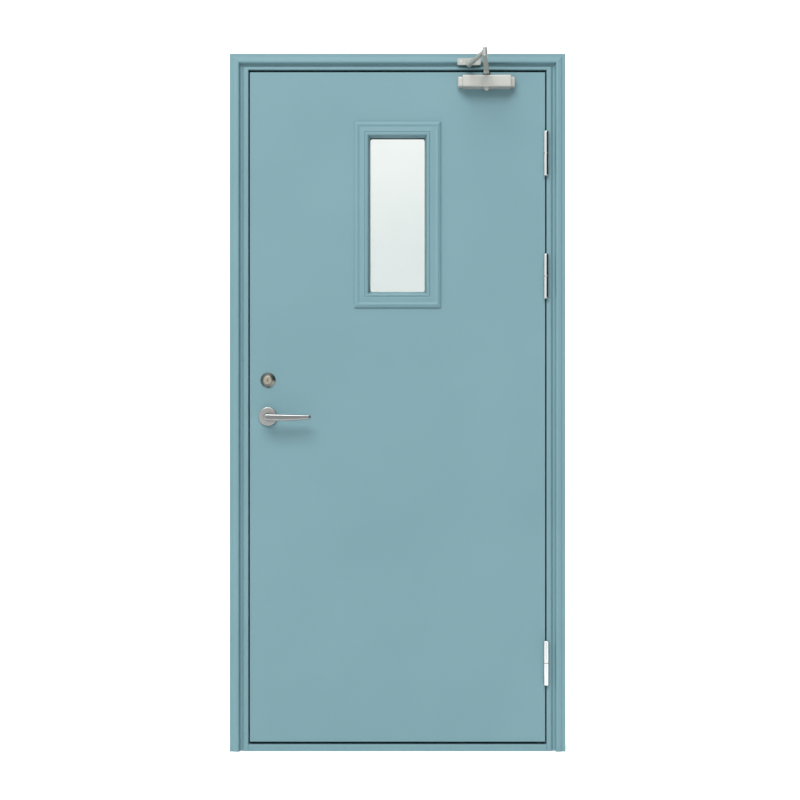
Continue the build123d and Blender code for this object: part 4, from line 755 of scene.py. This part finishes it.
# thumbturn: a collar and a grip with rounded ends, drawn in towards its outer face
turn = {
    "start": 33.3, "collar": 5.5, "collarRadius": 11, "collarEdge": 1.2,
    "shankEnd": 2.5, "shankRadius": 6.5,
    "grip": 8, "gripHeight": 36, "gripLength": 22, "gripRound": 3.95, "gripEdge": 1.0, "sunk": 1,
    "taper": (0.82, 1, 0.94),
}
gripStart = turn["start"] + turn["collar"]
gripEnd = gripStart + turn["gripLength"]
collar = addRound(
    "thumbturn_piece", (cylinderX, turn["start"] + turn["collar"] / 2, cylinderZ),
    turn["collarRadius"], turn["collar"], "y", segments=64,
)
bevelEdges(collar, turn["collarEdge"], onPlane("y", gripStart))
shank = addRound(
    "thumbturn_shank", (cylinderX, (turn["start"] + turn["shankEnd"]) / 2, cylinderZ),
    turn["shankRadius"], turn["start"] - turn["shankEnd"], "y",
)
grip = addBox(
    "thumbturn_grip",
    (cylinderX - turn["grip"] / 2, gripStart - turn["sunk"], cylinderZ - turn["gripHeight"] / 2),
    (cylinderX + turn["grip"] / 2, gripEnd, cylinderZ + turn["gripHeight"] / 2),
)
bevelEdges(grip, turn["gripRound"], lambda c, d: abs(d.y) > 10, segments=6)
edit(grip)
pick(grip, "faces", lambda c, n: n.y > 0.99)
gripMiddle = Vector((cylinderX, 0, cylinderZ))
bpy.ops.transform.resize(value=turn["taper"], center_override=gripMiddle * mm)
clearSelection()
bevelEdges(grip, turn["gripEdge"], onPlane("y", gripEnd))
thumbturn = joined("thumbturn_piece", [collar, shank, grip])
finishPiece(thumbturn, "cylinder_core", satinLever, ["thumbturn"])
print("thumbturn modelled")

# hinges: one of each half is modelled at height zero and copied to the three heights
hinge = {
    "x": 447, "y": -34.5, "length": 134, "radius": 7.5, "heights": (267, 1430, 1799),
    "rim": 1.6, "innerRim": 0.4, "edge": 0.3, "frameKnuckleTop": -0.75, "leafKnuckleBottom": 0.85,
    "framePlate": (448, 451), "leafPlate": (443, 446), "plateDepth": (-25, 5), "tongueInto": 1,
    "screwY": -8, "screwSteps": (-45, 0, 45),
}
halfLength = hinge["length"] / 2
plateFront, plateBack = hinge["plateDepth"]
# the frame's half is the lower one, and its plate looks to -X; the leaf's looks to +X
for body, plate, low, high, side in (
    ("frame", hinge["framePlate"], -halfLength, hinge["frameKnuckleTop"], -1),
    ("leaf", hinge["leafPlate"], hinge["leafKnuckleBottom"], halfLength, 1),
):
    outerEnd, innerEnd, faceX = (low, high, plate[0]) if side < 0 else (high, low, plate[1])
    knuckle = addRound(
        "knuckle", (hinge["x"], hinge["y"], (low + high) / 2), hinge["radius"], high - low, "z",
        segments=56,
    )
    bevelEdges(knuckle, hinge["rim"], onPlane("z", outerEnd), segments=4)
    bevelEdges(knuckle, hinge["innerRim"], onPlane("z", innerEnd), segments=2)
    plateBox = addBox(
        "plate", (plate[0], plateFront, -halfLength), (plate[1], plateBack, halfLength)
    )
    tongueBack = plateFront + hinge["tongueInto"]
    tongue = addBox("tongue", (plate[0], hinge["y"], low), (plate[1], tongueBack, high))
    cutWith(plateBox, tongue, "UNION")
    for step in hinge["screwSteps"]:
        sinkScrew(plateBox, (faceX, hinge["screwY"], step), "x", side)
    softEdges(plateBox, hinge["edge"], angle=40)
    half = joined("hinge_half", [knuckle, plateBox])
    for number, height in enumerate(hinge["heights"]):
        piece = copyOf(half, f"{body}_hinges_piece_{number + 1}", (0, 0, height))
        # the first one stands for the solid, which holds all three
        replaced = [body + "_hinges"] if number == 0 else []
        finishPiece(piece, body, hingeSteel, replaced)
    bpy.data.objects.remove(half)
print("hinges modelled")

# closer: cast body with bevelled front edges, hollow end caps and a boss under the shaft
closer = {
    "x": 267, "middleZ": 2012, "back": -25, "front": -65, "length": 144, "height": 36,
    "bevel": 4, "edge": 0.7,
    "bossRadius": 12, "bossHeight": 3, "bossSunk": 0.4,
    "shaftY": -45, "shaftHole": 7.3, "shaftHoleDepth": 4, "foot": (10.5, 12, 23),
    "capLength": 14, "capDepth": 26, "capHeight": 30, "capWall": 1.5,
}
middleZ, back = closer["middleZ"], closer["back"]
bodyLow, bodyHigh = closer["x"] - closer["length"] / 2, closer["x"] + closer["length"] / 2
bottomZ, topZ = middleZ - closer["height"] / 2, middleZ + closer["height"] / 2
closerBody = addBox(
    "closer_body_piece", (bodyLow, closer["front"], bottomZ), (bodyHigh, back, topZ)
)
bevelEdges(
    closerBody, closer["bevel"],
    lambda c, d: abs(d.x) > 10 and abs(c.y - closer["front"]) < near, segments=4,
)
boss = addRound(
    "boss", (closer["x"], closer["shaftY"], bottomZ - closer["bossHeight"] / 2),
    closer["bossRadius"], closer["bossHeight"] + closer["bossSunk"], "z",
)
cutWith(closerBody, boss, "UNION")
cutWith(closerBody, addRound(
    "shaft_hole", (closer["x"], closer["shaftY"], topZ),
    closer["shaftHole"], closer["shaftHoleDepth"], "z",
))
softEdges(closerBody, closer["edge"], segments=3)
footLength, footDepth, footHeight = closer["foot"]
feet = [
    addBox(
        "foot", (x, back - footDepth, middleZ - footHeight / 2),
        (x + footLength, back, middleZ + footHeight / 2),
    )
    for x in (bodyLow - footLength, bodyHigh)
]
closerBody = joined("closer_body_piece", [closerBody] + feet)
finishPiece(closerBody, "leaf", aluminium, ["closer_body"])

# each end cap is a box that is open to the body and the leaf, and gets its wall at the end
capFront = back - closer["capDepth"]
capSides = []
for side, bodyEnd in ((-1, bodyLow), (1, bodyHigh)):
    capEnd = bodyEnd + side * closer["capLength"]
    cap = addBox(
        "closer_end_cap", (min(bodyEnd, capEnd), capFront, middleZ - closer["capHeight"] / 2),
        (max(bodyEnd, capEnd), back, middleZ + closer["capHeight"] / 2),
    )
    edit(cap)
    pick(cap, "faces", lambda c, n: n.y > 0.9 or n.x * side < -0.9)
    bpy.ops.mesh.delete(type="FACE")
    clearSelection()
    bevelEdges(
        cap, closer["bevel"],
        lambda c, d: (abs(c.y - capFront) < near or abs(c.x - capEnd) < near)
        and abs(c.x - bodyEnd) > near and abs(c.y - back) > near,
        segments=4,
    )
    modify(cap, "SOLIDIFY", thickness=closer["capWall"] * mm, offset=-1)
    capSides.append(cap)
closerCaps = joined("closer_end_caps_piece", capSides)
finishPiece(closerCaps, "leaf", aluminium, ["closer_end_caps"])

# spring behind the piston: its wire's section is turned into a coil
spring = {
    "x": 201.8, "y": -45, "z": 2012, "radius": 12, "wire": 3, "turns": 6, "length": 41.8,
    "steps": 28, "sides": 16, "merge": 0.01, "fixedEnd": 200, "keep": 0.41,
}
clearSelection()
bpy.ops.mesh.primitive_circle_add(
    vertices=spring["sides"], radius=spring["wire"] / 2 * mm, location=(0, spring["radius"] * mm, 0)
)
bpy.ops.object.transform_apply(location=True)
closerSpring = bpy.context.object
closerSpring.name = "closer_spring_piece"
modify(
    closerSpring, "SCREW", axis="X", angle=2 * math.pi,
    screw_offset=spring["length"] / spring["turns"] * mm, iterations=spring["turns"],
    steps=spring["steps"], render_steps=spring["steps"],
    use_merge_vertices=True, merge_threshold=spring["merge"] * mm,
)
edit(closerSpring)
bpy.ops.mesh.select_all(action="SELECT")
bpy.ops.mesh.fill_holes(sides=0)
bpy.ops.mesh.normals_make_consistent(inside=False)
bpy.ops.transform.translate(value=Vector((spring["x"], spring["y"], spring["z"])) * mm)
finishPiece(closerSpring, "leaf", zinc, ["closer_spring"])
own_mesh(closerSpring)
print("closer body modelled")

# main arm: riser and a bar with a rounded elbow, with room cut for the hub, modelled along X and
# turned to its place
arm = {
    "place": (267, -45, 0), "elbow": (-16, -195), "hubRadius": 12, "hub": (2033, 2041),
    "shaftHole": 7.1, "shaftHoleDepth": 12, "hubRoom": 11.95, "hubRoomDepth": 16.1, "hubEdge": 1.5,
    "riser": (9.5, 18.5), "width": 15, "top": 2052.5, "thickness": 6, "edge": 0.8,
    "elbowRadius": 7, "elbowSteps": (0, 1.8, 3.5, 5.0, 6.1, 6.8),
}
armLength = math.hypot(*arm["elbow"])
armHalf = arm["width"] / 2
riserNear, riserFar = arm["riser"]
hubBottom, hubTop = arm["hub"]
barBottom = arm["top"] - arm["thickness"]
barMiddle = (barBottom + arm["top"]) / 2
mainArm = addBox(
    "closer_main_arm_piece", (riserNear, -armHalf, barBottom), (riserFar, armHalf, arm["top"])
)
roundEnd = [
    (armLength + step, 0, barMiddle,
     2 * math.sqrt(arm["elbowRadius"] ** 2 - step ** 2), arm["thickness"])
    for step in arm["elbowSteps"]
]
drawOut(mainArm, [(riserFar, 0, barMiddle, arm["width"], arm["thickness"])] + roundEnd)
riser = addBox("riser", (riserNear, -armHalf, hubBottom), (riserFar, armHalf, barMiddle))
cutWith(mainArm, riser, "UNION")
cutWith(mainArm, addRound("hub_room", (0, 0, hubBottom), arm["hubRoom"], arm["hubRoomDepth"], "z"))
softEdges(mainArm, arm["edge"], segments=3, angle=40)
turnAndPlace(mainArm, math.atan2(arm["elbow"][1], arm["elbow"][0]), arm["place"])
finishPiece(mainArm, "main_arm", silver, ["closer_main_arm"])

# the arm's hub, its hexagon nut and the nut's dome
nut = {
    "x": 267, "y": -45, "radius": 8.5, "bottom": 2041, "height": 5, "edge": 0.5,
    "domeRadius": 6.5, "domeBase": 0.6, "domeRise": 0.3, "domeStep": 0.85,
    "dome": (0.95, 0.86, 0.72, 0.45),
}
nutX, nutY, nutTop = nut["x"], nut["y"], nut["bottom"] + nut["height"]
armNut = addRound(
    "arm_nut_piece", (nutX, nutY, nut["bottom"] + nut["height"] / 2),
    nut["radius"], nut["height"], "z", segments=6,
)
softEdges(armNut, nut["edge"])
nutDome = addRound(
    "nut_dome", (nutX, nutY, nutTop + nut["domeRise"]),
    nut["domeRadius"], nut["domeBase"], "z", segments=40,
)
extrudeFaces(
    nutDome, capRound("z", 1, (nutX, nutY, 0)), (0, 0, nut["domeStep"]),
    [(scale, scale, 1) for scale in nut["dome"]], (nutX, nutY, 0),
)
# painted light: the hub takes the nut's zinc, lighter than the arm's silver paint, so that it shows
# bright though the arm shades it
hub = addRound(
    "hub", (nutX, nutY, (hubBottom + hubTop) / 2), arm["hubRadius"], hubTop - hubBottom, "z"
)
cutWith(hub, addRound(
    "shaft_hole", (nutX, nutY, hubBottom), arm["shaftHole"], arm["shaftHoleDepth"], "z", segments=32
))
bevelEdges(hub, arm["hubEdge"], lambda c, d: c.z > hubTop - near and abs(d.z) < near, segments=4)
armNut = joined("arm_nut_piece", [armNut, nutDome, hub])
finishPiece(armNut, "main_arm", zinc, ["arm_nut"], angle=50)

# forearm: a bar with an eye at each end, from the elbow to the shoe
fore = {
    "place": (251, -240, 0), "toShoe": (-36, 180), "bottom": 2056, "thickness": 8, "width": 12,
    "eye": 8, "elbowHole": 5.65, "shoeHole": 4.15, "holeLength": 20, "edge": 0.9,
}
foreLength = math.hypot(*fore["toShoe"])
foreMiddle = fore["bottom"] + fore["thickness"] / 2
foreTop = fore["bottom"] + fore["thickness"]
forearm = addBox(
    "closer_forearm_piece", (0, -fore["width"] / 2, fore["bottom"]),
    (foreLength, fore["width"] / 2, foreTop),
)
for x in (0, foreLength):
    eye = addRound("eye", (x, 0, foreMiddle), fore["eye"], fore["thickness"], "z")
    cutWith(forearm, eye, "UNION")
for x, radius in ((0, fore["elbowHole"]), (foreLength, fore["shoeHole"])):
    hole = addRound("hole", (x, 0, foreMiddle), radius, fore["holeLength"], "z", segments=40)
    cutWith(forearm, hole)
softEdges(forearm, fore["edge"], segments=3, angle=40)
turnAndPlace(forearm, math.atan2(fore["toShoe"][1], fore["toShoe"][0]), fore["place"])
finishPiece(forearm, "forearm", silver, ["closer_forearm"])

# elbow post: a foot, a neck inside the forearm's eye, and a rounded head
post = {
    "x": 251, "y": -240, "bottom": 2052.8, "foot": 3.2, "footEdge": 0.4,
    "radius": 5.5, "neckTop": 2068,
    "headRadius": 7, "head": 2.5, "headEdge": 1.0,
}
postMiddle = (post["x"], post["y"], 0)
postCap = capRound("z", 1, postMiddle)
elbowPost = addRound(
    "elbow_post_piece", (post["x"], post["y"], post["bottom"] + post["foot"] / 2),
    post["headRadius"], post["foot"], "z",
)
bevelEdges(elbowPost, post["footEdge"], lambda c, d: abs(d.z) < near, segments=2)
insetFaces(elbowPost, postCap, post["headRadius"] - post["footEdge"] - post["radius"])
headScale = post["headRadius"] / post["radius"]
extrudeFaces(elbowPost, postCap, (0, 0, post["neckTop"] - post["bottom"] - post["foot"]))
extrudeFaces(elbowPost, postCap, (0, 0, 0), ((headScale, headScale, 1),), postMiddle)
extrudeFaces(elbowPost, postCap, (0, 0, post["head"]))
bevelEdges(elbowPost, post["headEdge"], onPlane("z", post["neckTop"] + post["head"]), segments=4)
finishPiece(elbowPost, "forearm", zinc, ["elbow_post"])
print("arms modelled")

# shoe: a plate with two screws, a web, and an ear that holds the forearm's pin
shoe = {
    "x": 215, "y": -60, "wall": -35, "plate": 4, "length": 70, "bottom": 2064.3, "height": 20,
    "corner": 3, "edge": 0.6, "web": 16, "webInto": 1, "ear": 8, "earRadius": 8,
    "pinRadius": 4, "pinBottom": 2055.7, "pinInto": 1,
    "collarRadius": 5.5, "collarBottom": 2053.2, "collarEdge": 0.5,
    "screwZ": 2076.3, "screwStep": 24,
}
shoeX, shoeY, shoeBottom = shoe["x"], shoe["y"], shoe["bottom"]
shoeFace = shoe["wall"] - shoe["plate"]
closerShoe = addBox(
    "closer_shoe_piece", (shoeX - shoe["length"] / 2, shoeFace, shoeBottom),
    (shoeX + shoe["length"] / 2, shoe["wall"], shoeBottom + shoe["height"]),
)
bevelEdges(closerShoe, shoe["corner"], lambda c, d: abs(d.y) > 3, segments=4)
web = addBox(
    "web", (shoeX - shoe["web"] / 2, shoeY, shoeBottom),
    (shoeX + shoe["web"] / 2, shoe["wall"] - shoe["webInto"], shoeBottom + shoe["ear"]),
)
cutWith(closerShoe, web, "UNION")
earMiddle = (shoeX, shoeY, shoeBottom + shoe["ear"] / 2)
ear = addRound("ear", earMiddle, shoe["earRadius"], shoe["ear"], "z")
cutWith(closerShoe, ear, "UNION")
for side in (-1, 1):
    sinkScrew(closerShoe, (shoeX + side * shoe["screwStep"], shoeFace, shoe["screwZ"]), "y", -1)
softEdges(closerShoe, shoe["edge"], segments=3, angle=40)
pin = addRound(
    "pin", (shoeX, shoeY, (shoe["pinBottom"] + shoeBottom) / 2),
    shoe["pinRadius"], shoeBottom - shoe["pinBottom"] + shoe["pinInto"], "z", segments=32,
)
pinCollar = addRound(
    "pin_collar", (shoeX, shoeY, (shoe["collarBottom"] + shoe["pinBottom"]) / 2),
    shoe["collarRadius"], shoe["pinBottom"] - shoe["collarBottom"], "z", segments=32,
)
softEdges(pinCollar, shoe["collarEdge"])
closerShoe = joined("closer_shoe_piece", [closerShoe, pin, pinCollar])
finishPiece(closerShoe, "frame", silver, ["closer_shoe"])
print("shoe modelled")
